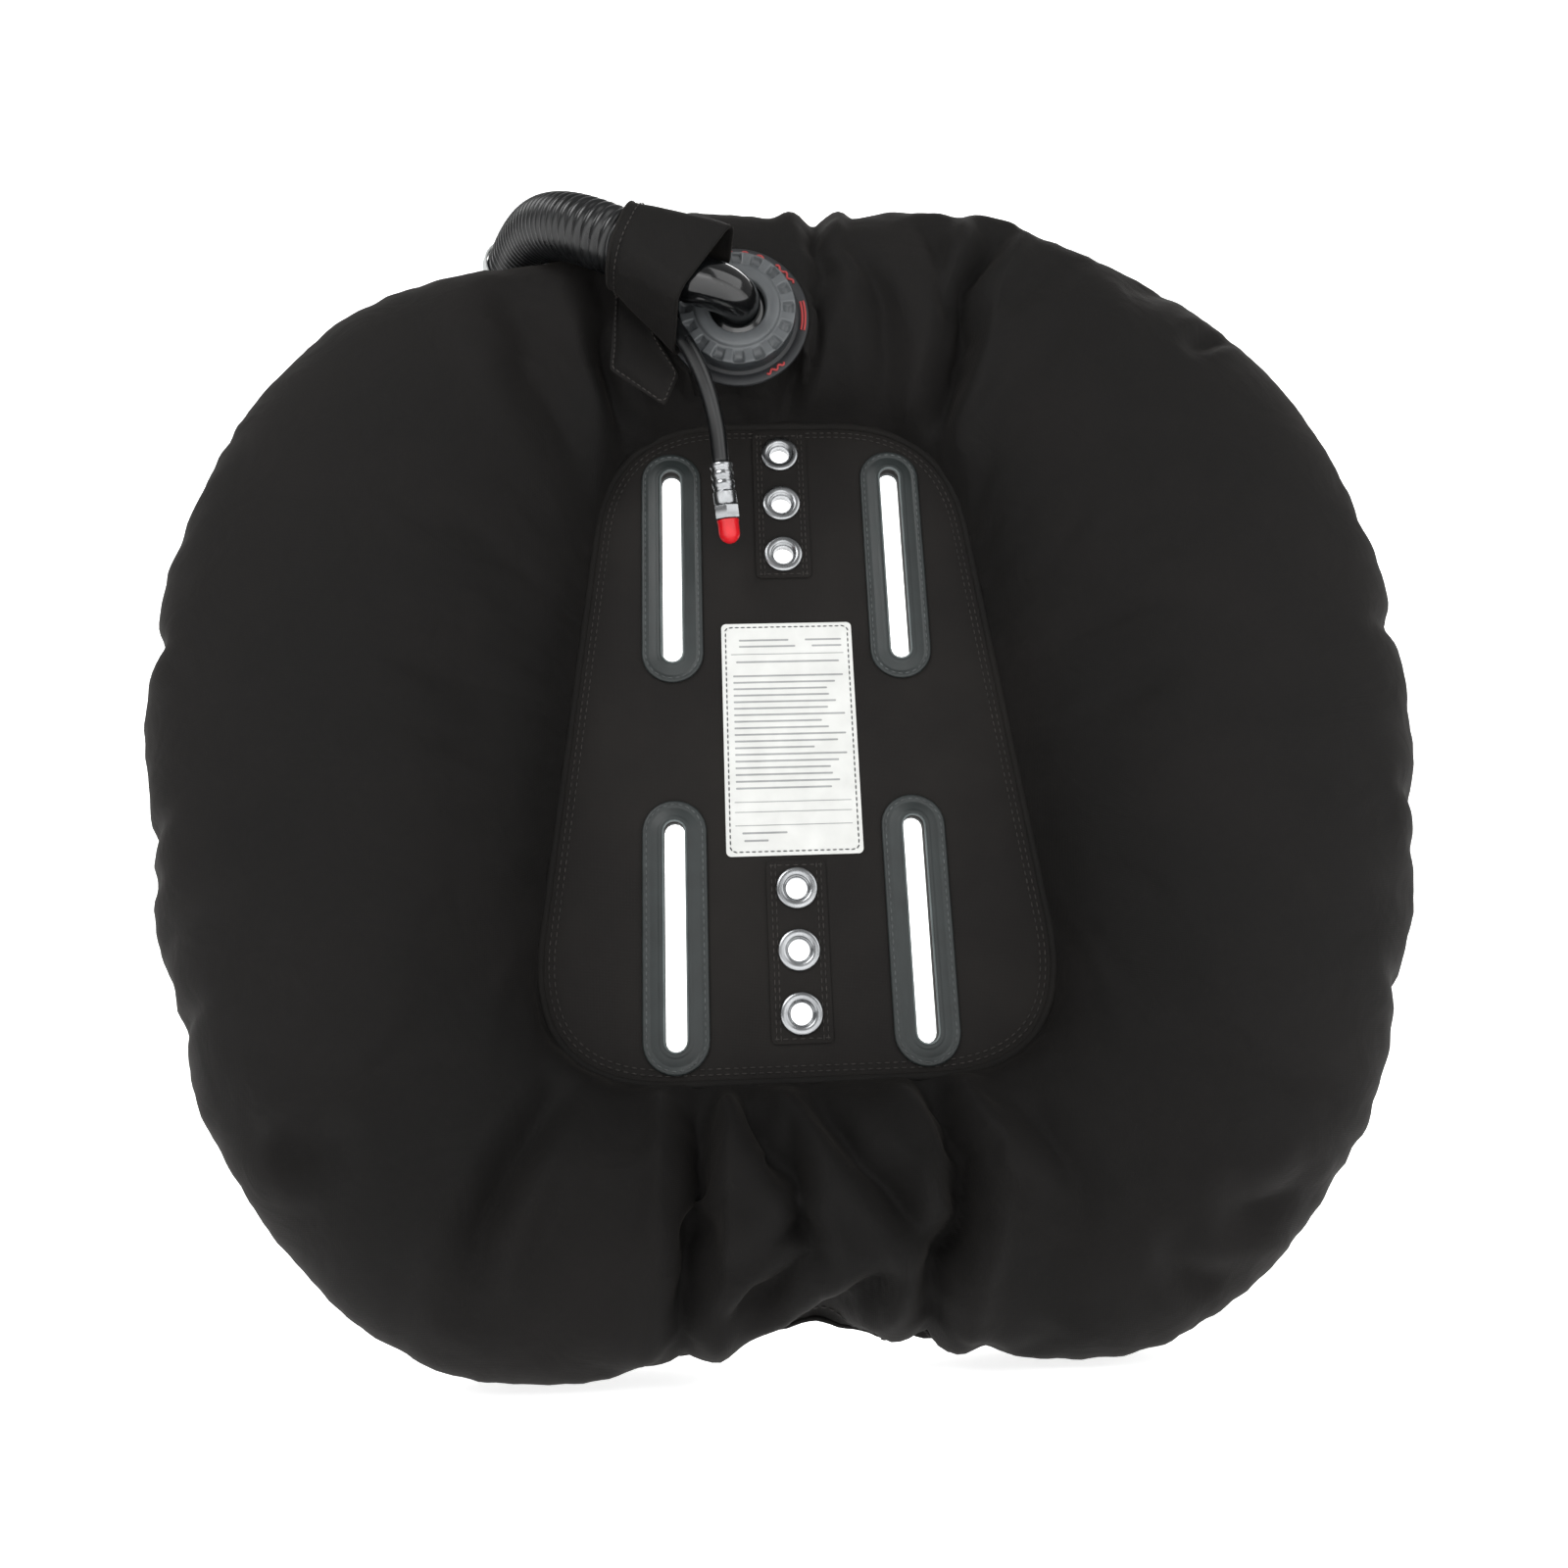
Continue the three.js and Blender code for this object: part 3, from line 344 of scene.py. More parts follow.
# %% [markdown]
# ## Finishes
# The cover is heavy ballistic nylon. It is nearly black, but its threads stand up a little, so it
# looks paler where the cloth curves away. That is what the shader's sheen does. The weave is two
# crossed waves, one thread every 0.9 mm, and slow noise makes the dye and the wear uneven.

# %% Woven nylon
BAND_SCALE = 0.3183  # the Wave texture's scale that draws about one band in each metre
THREAD_RELIEF = 0.00025  # metres; how far a thread stands up


def woven(name, dark, pale, thread, sheen, wrinkle=0.0):
    """Cloth with a thread every so many millimetres, and creases as deep as wrinkle."""
    material, tree, principled, place = finish_tree(
        name, Roughness=0.85, Sheen_Weight=sheen, Sheen_Roughness=0.42,
        Sheen_Tint=linear("cfc4b8"), Specular_IOR_Level=0.22)
    waves = [add(tree, "ShaderNodeTexWave", {
        "Vector": place, "Scale": 1 / (thread * MM) * BAND_SCALE, "Distortion": 0.6,
        "Detail": 1.0, "Detail Scale": 0.3}, bands_direction=direction).outputs["Fac"]
        for direction in ("X", "Z")]
    weave = add(tree, "ShaderNodeMath", dict(enumerate(waves)), operation="MULTIPLY").outputs[0]
    slubs, wear = (add(tree, "ShaderNodeTexNoise", {"Vector": place, "Scale": scale, "Detail": detail}
                       ).outputs["Fac"] for scale, detail in ((700.0, 3.0), (11.0, 6.0)))
    speckle = add(tree, "ShaderNodeMath", {0: slubs, 1: weave}, operation="MULTIPLY").outputs[0]
    tone = mix_colours(tree, ramp(tree, speckle, 0.05, 0.5), linear(dark), linear(pale))
    worn = mix_colours(tree, ramp(tree, wear, 0.42, 0.75), tone, linear(pale))
    tree.links.new(worn, principled.inputs["Base Color"])
    rough = add(tree, "ShaderNodeMapRange", {"Value": wear, "To Min": 0.74, "To Max": 0.92})
    tree.links.new(rough.outputs[0], principled.inputs["Roughness"])
    fine = add(tree, "ShaderNodeBump", {"Height": speckle, "Strength": 0.5, "Distance": THREAD_RELIEF})
    folds = add(tree, "ShaderNodeTexNoise",
                {"Vector": place, "Scale": 26.0, "Detail": 4.0, "Distortion": 0.8})
    broad = add(tree, "ShaderNodeBump", {"Height": folds.outputs["Fac"], "Strength": 1.0,
                                         "Distance": wrinkle * MM, "Normal": fine.outputs[0]})
    tree.links.new(broad.outputs[0], principled.inputs["Normal"])
    return material


# Ballistic nylon of the cover: nearly black, dull, with small creases that break up the light.
SHELL_NYLON = woven("woven ballistic nylon", "080706", "131110", 0.9, 0.03, wrinkle=1.8)
# Backed nylon of the panel: a shade paler and flatter, because it is stiff.
PANEL_NYLON = woven("woven backed nylon", "131110", "201e1c", 0.8, 0.03, wrinkle=0.7)
# Narrow woven tape on the edges: finer threads and no creases, so its edge line stays clean.
TAPE_NYLON = woven("woven binding tape", "0d0c0b", "1b1917", 0.6, 0.035)
print("woven finishes", SHELL_NYLON.name, PANEL_NYLON.name, TAPE_NYLON.name)

# %% [markdown]
# Rubber, moulded plastic and polished metal share one recipe: a base colour broken up by noise, a
# roughness that changes slowly, and a grain for the bump. Only the numbers differ. The grain is
# noise with so many cells in a metre: 1400 gives cells of 0.7 mm, which is coarser than the real
# grain, because that would be too fine to show.

# %% A recipe for rubber, plastic and metal
def moulded(name, colour, second, roughness, spread=0.1, grain=900.0, depth=0.06, metal=0.0, coat=0.0):
    """Two colours that mix slowly, a roughness that varies by spread, a grain depth mm deep."""
    material, tree, principled, place = finish_tree(name, Metallic=metal, Coat_Weight=coat)
    slow, quick = (add(tree, "ShaderNodeTexNoise", {"Vector": place, "Scale": scale, "Detail": detail}
                       ).outputs["Fac"] for scale, detail in ((60.0, 5.0), (grain, 2.0)))
    tone = mix_colours(tree, ramp(tree, slow, 0.3, 0.7), linear(colour), linear(second))
    tree.links.new(tone, principled.inputs["Base Color"])
    rough = add(tree, "ShaderNodeMapRange", {"Value": slow, "To Min": roughness - spread,
                                             "To Max": roughness + spread})
    tree.links.new(rough.outputs[0], principled.inputs["Roughness"])
    bump = add(tree, "ShaderNodeBump", {"Height": quick, "Strength": 0.5, "Distance": depth * MM})
    tree.links.new(bump.outputs[0], principled.inputs["Normal"])
    return material


# %% Rubber finishes
# Moulded rubber of the patches: a fine grain spreads the light, so they look dull blue-grey.
PATCH_RUBBER = moulded("moulded patch rubber", "1d2222", "272d2d", 0.5, grain=1400, depth=0.12)
# Extruded rubber of the hoses: black and smoother, so each rib carries a thin bright line.
HOSE_RUBBER = moulded("extruded hose rubber", "0b0c0d", "141516", 0.3, grain=500, depth=0.05)
# Moulded seals and the mouthpiece: an even, dull black.
SEAL_RUBBER = moulded("moulded seal rubber", "121212", "1c1c1c", 0.5)
print("rubber finishes", PATCH_RUBBER.name, HOSE_RUBBER.name, SEAL_RUBBER.name)

# %% Plastic finishes
# Polished ABS of the elbow: nearly a mirror under a clear coat, so the lights show as patches.
GLOSS_PLASTIC = moulded("polished ABS", "08090a", "0e0f10", 0.14, spread=0.04, grain=300,
                        depth=0.01, coat=0.4)
# Moulded nylon of the lock ring's face: mid grey and satin, so its pockets show by soft shading.
RING_PLASTIC = moulded("moulded grey polyamide", "494c4e", "585b5d", 0.4, grain=1200, depth=0.05)
# The same plastic made darker. On the ring's skirt this is painted shade, because the skirt faces away from
# the light; the vent button wears it too.
PAINTED_SKIRT_SHADE_AND_VENT_PLASTIC = moulded("moulded dark polyamide", "25282a", "303335", 0.45, grain=1200, depth=0.05)
# Moulded urethane of the flanges, made to be welded to cloth: matt black with a visible grain.
FLANGE_PLASTIC = moulded("moulded flange urethane", "17181a", "202225", 0.55, grain=1500, depth=0.1)
# Soft vinyl of the dust cap: strong red with a broad, weak highlight.
CAP_RED = moulded("moulded red vinyl", "c00d18", "e01a25", 0.34, spread=0.06, grain=400, depth=0.03)
print("plastic finishes", GLOSS_PLASTIC.name, RING_PLASTIC.name, PAINTED_SKIRT_SHADE_AND_VENT_PLASTIC.name,
      FLANGE_PLASTIC.name, CAP_RED.name)

# %% Metal, print and thread finishes
# Polished stainless steel: a pale mirror that fine wear makes a little soft.
BRIGHT_STEEL = moulded("polished stainless steel", "8e9092", "b2b4b6", 0.27, spread=0.08,
                       grain=2000, depth=0.02, metal=1.0)
# Ink printed on the flange: a dull, dark red.
MARK_RED = moulded("printed red ink", "8d2a2c", "a83a3a", 0.6)
# Coated film of the label: nearly white and slightly soft, the palest thing on the wing.
LABEL_FILM = moulded("coated label film", "cfd0cd", "dadbd8", 0.5, grain=300, depth=0.08)
# Ink of the label: mid grey and flat.
PRINT_GREY = moulded("printed grey ink", "8d8f8f", "a2a4a4", 0.6)
# Twisted polyester thread: brown-black, a little paler than the cloth, so the stitches show.
THREAD = moulded("twisted dark thread", "1a1816", "322e2b", 0.7, grain=3000, depth=0.1)
# The same thread in grey, as it is on the patches and the label.
PALE_THREAD = moulded("twisted grey thread", "3d4040", "565a5a", 0.65, grain=3000, depth=0.1)
print("other finishes", BRIGHT_STEEL.name, MARK_RED.name, LABEL_FILM.name, PRINT_GREY.name,
      THREAD.name, PALE_THREAD.name)

# %% [markdown]
# ## The corrugated hose
# The breathing-type hose is a tube with round ribs every 5.8 mm. It leaves the elbow, goes through
# the sleeve and over the diver's left shoulder. In Geometry Nodes its route is resampled, the
# radius of each point follows a wave, and Curve to Mesh draws a circle along it.

# %% Hose routes, in millimetres
HOSE_ROUTE = [
    (-64, -92, 239), (-71.9, -92.8, 243.2), (-88.1, -92.2, 253), (-105.7, -87, 266),
    (-120.7, -77.2, 279.6), (-133.2, -63.9, 292.7), (-143.9, -48, 304.6), (-153.8, -30.3, 314.2),
    (-163.4, -11.2, 320.9), (-173, 8.9, 323.6), (-182.4, 29.2, 321.3), (-191, 48.5, 313.8),
    (-198.2, 65.9, 301.6), (-203.9, 80.8, 285.7), (-208, 92.7, 267.1), (-210.7, 101.3, 246.6),
    (-212.4, 107.6, 224.8), (-213, 110, 200), (-213, 110, 180),
]
LP_ROUTE = [
    (-37, -46, 141), (-39.2, -54.1, 161.5), (-44.4, -62.7, 181.3), (-53, -69.4, 200.5),
    (-64.4, -71, 219), (-77.2, -69.9, 236.7), (-89.9, -66.6, 254.6), (-100.8, -60.8, 273.2),
    (-109.9, -52.4, 291.6), (-118.2, -40.7, 308.5), (-127.4, -26.2, 322.5), (-137, -8.6, 331.9),
    (-146.3, 11.2, 334.8), (-154.6, 31.2, 330.4), (-162.2, 49.2, 320.1), (-169.3, 65.1, 306.3),
    (-175.5, 79.1, 290.3), (-180.1, 91.3, 272.4), (-182.5, 100.8, 252.5), (-183.1, 107.6, 231.2),
    (-183, 110, 208), (-183, 110, 187),
]
hose_line = smooth_path(HOSE_ROUTE, 2)
lp_line = smooth_path(LP_ROUTE, 2)


def length_of(line):
    return float(np.linalg.norm(np.diff(line, axis=0), axis=1).sum())


print("hose", round(length_of(hose_line)), "mm, low-pressure hose", round(length_of(lp_line)), "mm")


# %% [markdown]
# Geometry Nodes trees are built here in the script too. A tree gets one named input for each size,
# and a helper sets them on the modifier by the socket's identifier, because that, not the name, is
# the modifier's key. The result is then made a plain mesh and the modifier is gone.

# %% Geometry Nodes helpers
def new_tree(name, **sizes):
    """A Geometry Nodes tree with named inputs: numbers, materials or objects."""
    tree = bpy.data.node_groups.new(name, "GeometryNodeTree")
    tree.interface.new_socket("Geometry", in_out="INPUT", socket_type="NodeSocketGeometry")
    for label, value in sizes.items():
        kind = "NodeSocketMaterial" if isinstance(value, bpy.types.Material) else "NodeSocketFloat"
        if isinstance(value, bpy.types.Object):
            kind = "NodeSocketObject"
        tree.interface.new_socket(label, in_out="INPUT", socket_type=kind)
    tree.interface.new_socket("Geometry", in_out="OUTPUT", socket_type="NodeSocketGeometry")
    return tree, tree.nodes.new("NodeGroupInput").outputs


def end_tree(tree, geometry, finish):
    """The last steps of every tree: the finish, and the way out."""
    finished = add(tree, "GeometryNodeSetMaterial", {"Geometry": geometry, "Material": finish})
    tree.links.new(finished.outputs[0], tree.nodes.new("NodeGroupOutput").inputs[0])
    return tree


def run_tree(obj, tree, **sizes):
    """Puts the tree on the object, sets its inputs and returns the result as a plain mesh object."""
    modifier = obj.modifiers.new(tree.name, "NODES")
    modifier.node_group = tree
    for item in tree.interface.items_tree:
        if item.in_out == "INPUT" and item.name in sizes:
            modifier[item.identifier] = sizes[item.name]
    return made_plain(obj)


def line_curve(name, points, closed=False):
    """A poly curve through points in millimetres."""
    curve = bpy.data.curves.new(name, "CURVE")
    curve.dimensions = "3D"
    spline = curve.splines.new("POLY")
    spline.points.add(len(points) - 1)
    spline.points.foreach_set("co", np.c_[np.asarray(points) * MM, np.ones(len(points))].ravel())
    spline.use_cyclic_u = closed
    return put_in_scene(name, curve)


# %% Ribs along the corrugated hose
HOSE_RADIUS, RIB_PITCH, RIB_DEPTH = 18.9, 5.8, 3.3
RIB_ROUNDNESS = 0.55  # less than 1 makes the crests broad and the valleys narrow
RING_SPACING = 0.00072  # metres between the hose's rings of faces, eight to a rib


def ribbed_tree():
    sizes = {"Radius": 1.0, "Pitch": 1.0, "Depth": 1.0, "Finish": HOSE_RUBBER}
    tree, entry = new_tree("ribbed hose", **sizes)
    even = add(tree, "GeometryNodeResampleCurve",
               {"Curve": entry["Geometry"], "Length": RING_SPACING}, mode="LENGTH")
    along = add(tree, "GeometryNodeSplineParameter").outputs["Length"]
    turns = add(tree, "ShaderNodeMath", {0: along, 1: entry["Pitch"]}, operation="DIVIDE")
    angle = add(tree, "ShaderNodeMath", {0: turns.outputs[0], 1: math.pi}, operation="MULTIPLY")
    wave = add(tree, "ShaderNodeMath", {0: angle.outputs[0]}, operation="SINE")
    crest = add(tree, "ShaderNodeMath", {0: wave.outputs[0]}, operation="ABSOLUTE")
    round_crest = add(tree, "ShaderNodeMath", {0: crest.outputs[0], 1: RIB_ROUNDNESS},
                      operation="POWER")
    valley = add(tree, "ShaderNodeMath", {0: 1.0, 1: round_crest.outputs[0]}, operation="SUBTRACT")
    drop = add(tree, "ShaderNodeMath", {0: valley.outputs[0], 1: entry["Depth"]}, operation="MULTIPLY")
    radius = add(tree, "ShaderNodeMath", {0: entry["Radius"], 1: drop.outputs[0]}, operation="SUBTRACT")
    circle = add(tree, "GeometryNodeCurvePrimitiveCircle", {"Resolution": 48, "Radius": 1.0})
    tube = add(tree, "GeometryNodeCurveToMesh", {
        "Curve": even.outputs[0], "Profile Curve": circle.outputs["Curve"], "Scale": radius.outputs[0],
        "Fill Caps": True})
    smooth = add(tree, "GeometryNodeSetShadeSmooth", {"Geometry": tube.outputs[0]})
    return end_tree(tree, smooth.outputs[0], entry["Finish"])


hose = run_tree(line_curve("corrugated_hose_tube", hose_line), ribbed_tree(), Radius=HOSE_RADIUS * MM,
                Pitch=RIB_PITCH * MM, Depth=RIB_DEPTH * MM, Finish=HOSE_RUBBER)
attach(hose, "hose_assembly")
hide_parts("corrugated_hose")
print("hose faces", len(hose.data.polygons))

# %% [markdown]
# ## Keeper and clamp
# A pale band holds the two hoses together at the top of the shoulder, and a steel clamp holds the
# hose on the inflator.

# %% Keeper and clamp
# Profiles are (radius, height along the axis), in millimetres.
KEEPER_PROFILE = [(19.6, -3.5), (20.9, -3.5), (21.3, -3), (21.3, -1.4), (20.9, -1), (20.9, 1),
                  (21.3, 1.4), (21.3, 3), (20.9, 3.5), (19.6, 3.5)]
BAND_PROFILE = [(19.7, -3), (21.1, -3), (21.1, -2.2), (20.8, -2), (20.8, 2), (21.1, 2.2), (21.1, 3),
                (19.7, 3)]
SCREW_PROFILE = [(0, -7), (2.2, -7), (2.6, -6.4), (2.6, 5.4), (3.3, 5.8), (3.3, 8), (2.8, 8.6), (0, 8.6)]
BAND_PLACE, SCREW_PLACE = (-213, 110, 194.7), (-213, 133.2, 194.7)
# Moulded pale plastic of the keeper: the one light line across the hoses.
KEEPER_PLASTIC = moulded("moulded pale nylon", "b9bcbb", "cdd0cf", 0.4, grain=900, depth=0.05)

keeper_middle = np.array(HOSE_ROUTE[9], float)
keeper_axis = np.array(HOSE_ROUTE[10], float) - np.array(HOSE_ROUTE[8])
keeper = turned("pale_keeper", KEEPER_PROFILE, keeper_middle, keeper_axis, 72)
keeper.data.materials.append(KEEPER_PLASTIC)
band = turned("clamp_band", BAND_PROFILE, BAND_PLACE, (0, 0, 1), 72)
screw = turned("clamp_screw", SCREW_PROFILE, SCREW_PLACE, (1, 0, 0), 20)
for obj in (band, screw):
    obj.data.materials.append(BRIGHT_STEEL)
clamp = merged("steel_hose_clamp", band, screw)
for obj, node, slot in ((keeper, "hose_keeper", "grey_plastic"), (clamp, "hose_clamp", "steel")):
    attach(obj, "hose_assembly")
    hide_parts(node)
print("the hose carries", keeper.name, "and", clamp.name)

# %% [markdown]
# ## The low-pressure hose
# It brings air from the tank's regulator to the inflator. It is smooth, so a plain sweep is
# enough. Its near end carries a crimped steel ferrule, a threaded fitting and a red dust cap.

# %% Low-pressure hose
lp_hose = sweep("low_pressure_hose", lp_line, 5.0, sides=28)
lp_hose.data.materials.append(HOSE_RUBBER)
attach(lp_hose, "hose_assembly")
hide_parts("lp_hose")

print("low-pressure hose faces", len(lp_hose.data.polygons))

# %% Ferrule, fitting and cap
lp_end = np.array(LP_ROUTE[0])
lp_axis = unit(lp_end - np.array(LP_ROUTE[1]))
EDGE_ROUND = 0.25
THREAD_TURNS, THREAD_PITCH, THREAD_FOOT = 8, 1.2, 32.6
FERRULE_PROFILE = [
    (4.6, 0.3), (6.2, 0.3), (6.7, 1.2), (6.7, 3), (6.1, 3.8), (6.1, 5.2), (6.7, 6), (6.7, 8.5),
    (6.1, 9.3), (6.1, 10.7), (6.7, 11.5), (6.7, 14), (6.1, 14.8), (6.1, 16.2), (6.9, 17), (6.9, 23.4),
    (6.3, 24.3), (4.6, 24.3)]
HEXAGON_PROFILE = [(4, 24.6), (7.6, 24.6), (8, 25.2), (8, 32), (7.6, 32.6), (4, 32.6)]


def lp_turned(name, profile, finish, facets=48):
    made = soften(turned(name, profile, lp_end, lp_axis, facets), EDGE_ROUND)
    made.data.materials.append(finish)
    return made


ferrule = lp_turned("crimped_ferrule", FERRULE_PROFILE, BRIGHT_STEEL)
hexagon = lp_turned("fitting_hexagon", HEXAGON_PROFILE, BRIGHT_STEEL, facets=6)
thread_turns = []
for turn in range(THREAD_TURNS):
    foot = THREAD_FOOT + THREAD_PITCH * turn
    thread_turns += [(4.2, foot), (4.6, foot + 0.4), (4.6, foot + 0.7), (4.2, foot + 1.1)]
stud = lp_turned("fitting_thread", [(1, THREAD_FOOT), *thread_turns, (3.6, 42.6), (1, 42.6)], BRIGHT_STEEL)
fitting = merged("threaded_fitting", hexagon, stud)
dome = [(6.2 * math.cos(a), 40.7 + 6.2 * math.sin(a)) for a in np.linspace(0, math.pi / 2, 10)]
cap = lp_turned("red_dust_cap", [(0, 32.9), (6.5, 32.9), (6.5, 34.2), (6.2, 34.6), *dome], CAP_RED)
for obj, body, node, slot in ((ferrule, "hose_assembly", "lp_ferrule", "steel"),
                              (fitting, "hose_assembly", "lp_threaded_fitting", "steel"),
                              (cap, "dust_cap", "dust_cap", "red_plastic")):
    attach(obj, body)
    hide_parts(node)
print("its end carries", ferrule.name, fitting.name, cap.name)

# %% [markdown]
# ## The inflated cover
# The tank side and the diver side are two flat pieces of nylon, sewn together along the outer edge
# and to the centre panel along the inner edge, with a urethane bladder inside. Blown up, the flat
# cloth has too much length along the seams, so it puckers there. We make the donut a little slack,
# hold both seams, let the cloth grow by a few percent and blow it up with Blender's Cloth.

# %% Outlines of the wing and the panel, in millimetres
WING_WIDTH, WING_TOP, WING_DROP = 714, 338, 345
WING_HALF = [(0, 0.985), (0.2, 0.992), (0.44, 0.935), (0.8, 0.69), (0.985, 0.27), (0.985, -0.2),
             (0.826, -0.661), (0.53, -0.96), (0.21, -0.992), (0, -0.955)]
PANEL_TOP, PANEL_DROP, PANEL_TOP_HALF, PANEL_FOOT_HALF = 196, 211, 107.4, 153
PANEL_TOP_ROUND, PANEL_FOOT_ROUND = 75, 85


def wing_outline():
    """One half is listed, as shares of the width and of the height; the other mirrors it."""
    right = [(x * WING_WIDTH / 2, z * (WING_TOP if z > 0 else WING_DROP)) for x, z in WING_HALF]
    points = np.array(right + [(-x, z) for x, z in right[-2:0:-1]])
    dense = []
    for i in range(len(points)):
        dense += smooth_span(*(points[(i + k) % len(points)] for k in (-1, 0, 1, 2)), 40)
    return np.array(dense)


def panel_outline():
    """Wider at the foot than at the top, with round corners."""
    slope = unit([PANEL_FOOT_HALF - PANEL_TOP_HALF, -PANEL_TOP - PANEL_DROP])
    right = []
    for x, z, inward, before, after in (
            (PANEL_TOP_HALF, PANEL_TOP, PANEL_TOP_ROUND, np.array([-1.0, 0]), slope),
            (PANEL_FOOT_HALF, -PANEL_DROP, PANEL_FOOT_ROUND, -slope, np.array([-1.0, 0]))):
        corner = np.array([x, z])
        right += bent(corner + inward * before, corner, corner + inward * after, 24)
    right = [tuple(p) for p in right]
    return np.array(right + [(-x, z) for x, z in right[::-1]])


def reach(outline, angles):
    """How far an outline lies from the origin in each direction."""
    dense = np.vstack([outline, outline[:1]])
    dense = np.vstack([np.linspace(a, b, 20, endpoint=False) for a, b in zip(dense, dense[1:])])
    bearing = np.arctan2(dense[:, 1], dense[:, 0])
    order = np.argsort(bearing)
    distance = np.hypot(dense[:, 0], dense[:, 1])
    return np.interp(angles, bearing[order], distance[order], period=2 * math.pi)


print("outline points", len(wing_outline()), "of the wing,", len(panel_outline()), "of the panel")

# %% The donut before it is blown up
AROUND, ACROSS = 300, 34  # points round the donut, and from seam to seam on each side
SEAM_Y = 1.5  # both seams lie in the middle of the panel's thickness
FRONT_BULGES, BACK_BULGES = (78, 56), (70, 54)  # height at the flanks, and at top and bottom
FULLNESS = 0.7  # less than 1 makes the tube's sides steeper than a sine
UNDER_PANEL = 1.6  # the cover's inner edge is tucked in under the panel's
HOSE_BED_ANGLE, HOSE_BED_SPREAD, HOSE_BED_DEPTH = math.radians(116), math.radians(11), 22

angles = np.linspace(-math.pi, math.pi, AROUND, endpoint=False)
inner = reach(panel_outline(), angles) - UNDER_PANEL
outer = reach(wing_outline(), angles)
bed = HOSE_BED_DEPTH * np.exp(-((angles - HOSE_BED_ANGLE) / HOSE_BED_SPREAD)**2)


def side_of_tube(side, slack):
    """Even points from the panel's edge to the outer seam, for every angle."""
    share = np.linspace(0, 1, 161)
    bulge, ends = BACK_BULGES if side > 0 else FRONT_BULGES
    height = ends + (bulge - ends) * np.cos(angles)**2 - bed / 4 - slack
    edge = outer - bed
    radius = ((inner + edge) / 2)[:, None] - ((edge - inner) / 2)[:, None] * np.cos(math.pi * share)
    rise = height[:, None] * np.sin(math.pi * share).clip(0)**FULLNESS
    rows = []
    for r, h in zip(radius, rise):
        along = np.r_[0, np.cumsum(np.hypot(np.diff(r), np.diff(h)))]
        steps = np.linspace(0, along[-1], ACROSS + 1)
        rows.append(np.c_[np.interp(steps, along, r), np.interp(steps, along, h)])
    rows = np.array(rows)
    x = rows[..., 0] * np.cos(angles)[:, None]
    z = rows[..., 0] * np.sin(angles)[:, None]
    return np.stack([x, SEAM_Y + side * rows[..., 1], z], axis=-1)


START_SLACK = 5.0
tank_rows = side_of_tube(-1, START_SLACK)
diver_rows = side_of_tube(1, START_SLACK)
tube_rows = np.concatenate([tank_rows, diver_rows[:, -2:0:-1]], axis=1)
wing = skin("wing_cover", tube_rows, closed=True)
wing.data.materials.append(SHELL_NYLON)
RING = tube_rows.shape[1]
print("wing vertices", len(wing.data.vertices), "of", AROUND * RING)

# %% Blowing it up with Cloth
PRESSURE, GROWTH, FRAMES = 5.0, 0.065, 22
MOST_OUT, MOST_IN = 13.0, 9.0


def coordinates(mesh):
    points = np.empty(len(mesh.vertices) * 3)
    mesh.vertices.foreach_get("co", points)
    return points.reshape(-1, 3)


def normals(mesh):
    directions = np.empty(len(mesh.vertices) * 3)
    mesh.vertices.foreach_get("normal", directions)
    return directions.reshape(-1, 3)


def set_coordinates(mesh, points):
    mesh.vertices.foreach_set("co", np.asarray(points).ravel())
    mesh.update()


# A tight, light cover that bends easily: it must stretch little, and fold where it has too much.
CLOTH_SETTINGS = {
    "quality": 6, "mass": 0.25, "tension_stiffness": 25, "compression_stiffness": 12,
    "shear_stiffness": 8, "bending_stiffness": 0.12, "vertex_group_mass": "held",
    "use_pressure": True, "uniform_pressure_force": PRESSURE, "shrink_min": -GROWTH}


def blow_up(obj, held):
    """Cloth with pressure; how far a point may move is capped. The result is left in the mesh."""
    start, outwards = coordinates(obj.data), normals(obj.data)
    obj.vertex_groups.new(name="held").add(held, 1.0, "REPLACE")
    cloth = obj.modifiers.new("cloth", "CLOTH")
    for key, value in CLOTH_SETTINGS.items():
        setattr(cloth.settings, key, value)
    cloth.settings.effector_weights.gravity = 0
    cloth.collision_settings.use_collision = False
    cloth.point_cache.frame_end = FRAMES
    for step in range(1, FRAMES + 1):
        bpy.context.scene.frame_set(step)
    depsgraph = bpy.context.evaluated_depsgraph_get()
    result = obj.evaluated_get(depsgraph).to_mesh()
    moved = coordinates(result) - start
    out = (moved * outwards).sum(axis=1)
    size = np.linalg.norm(moved, axis=1)
    limit = np.where(out > 0, MOST_OUT, MOST_IN) * MM
    moved *= (limit * np.tanh(size / limit) / np.maximum(size, 1e-9))[:, None]
    obj.modifiers.clear()
    obj.vertex_groups.clear()
    set_coordinates(obj.data, start + moved)
    bpy.context.scene.frame_set(1)
    print("cloth moved it", round(size.max() / MM, 1), "mm at most, kept", round(np.abs(out).max() / MM, 1))


seam_columns = [i * RING + column for i in range(AROUND) for column in (0, ACROSS)]
blow_up(wing, seam_columns)
finer = wing.modifiers.new("finer", "SUBSURF")
finer.levels = finer.render_levels = 1
wing = made_plain(wing)
print("wing faces", len(wing.data.polygons))

# %% [markdown]
# ## Folds where the wing bends
# The narrow parts of the donut, over the port and under the panel, can't fill out: the cloth
# folds there in deep creases that run from the panel to the rim. Each fold is a line seen from the
# tank side, with a width and a depth. Points near the line sink, and the cloth beside it rises.

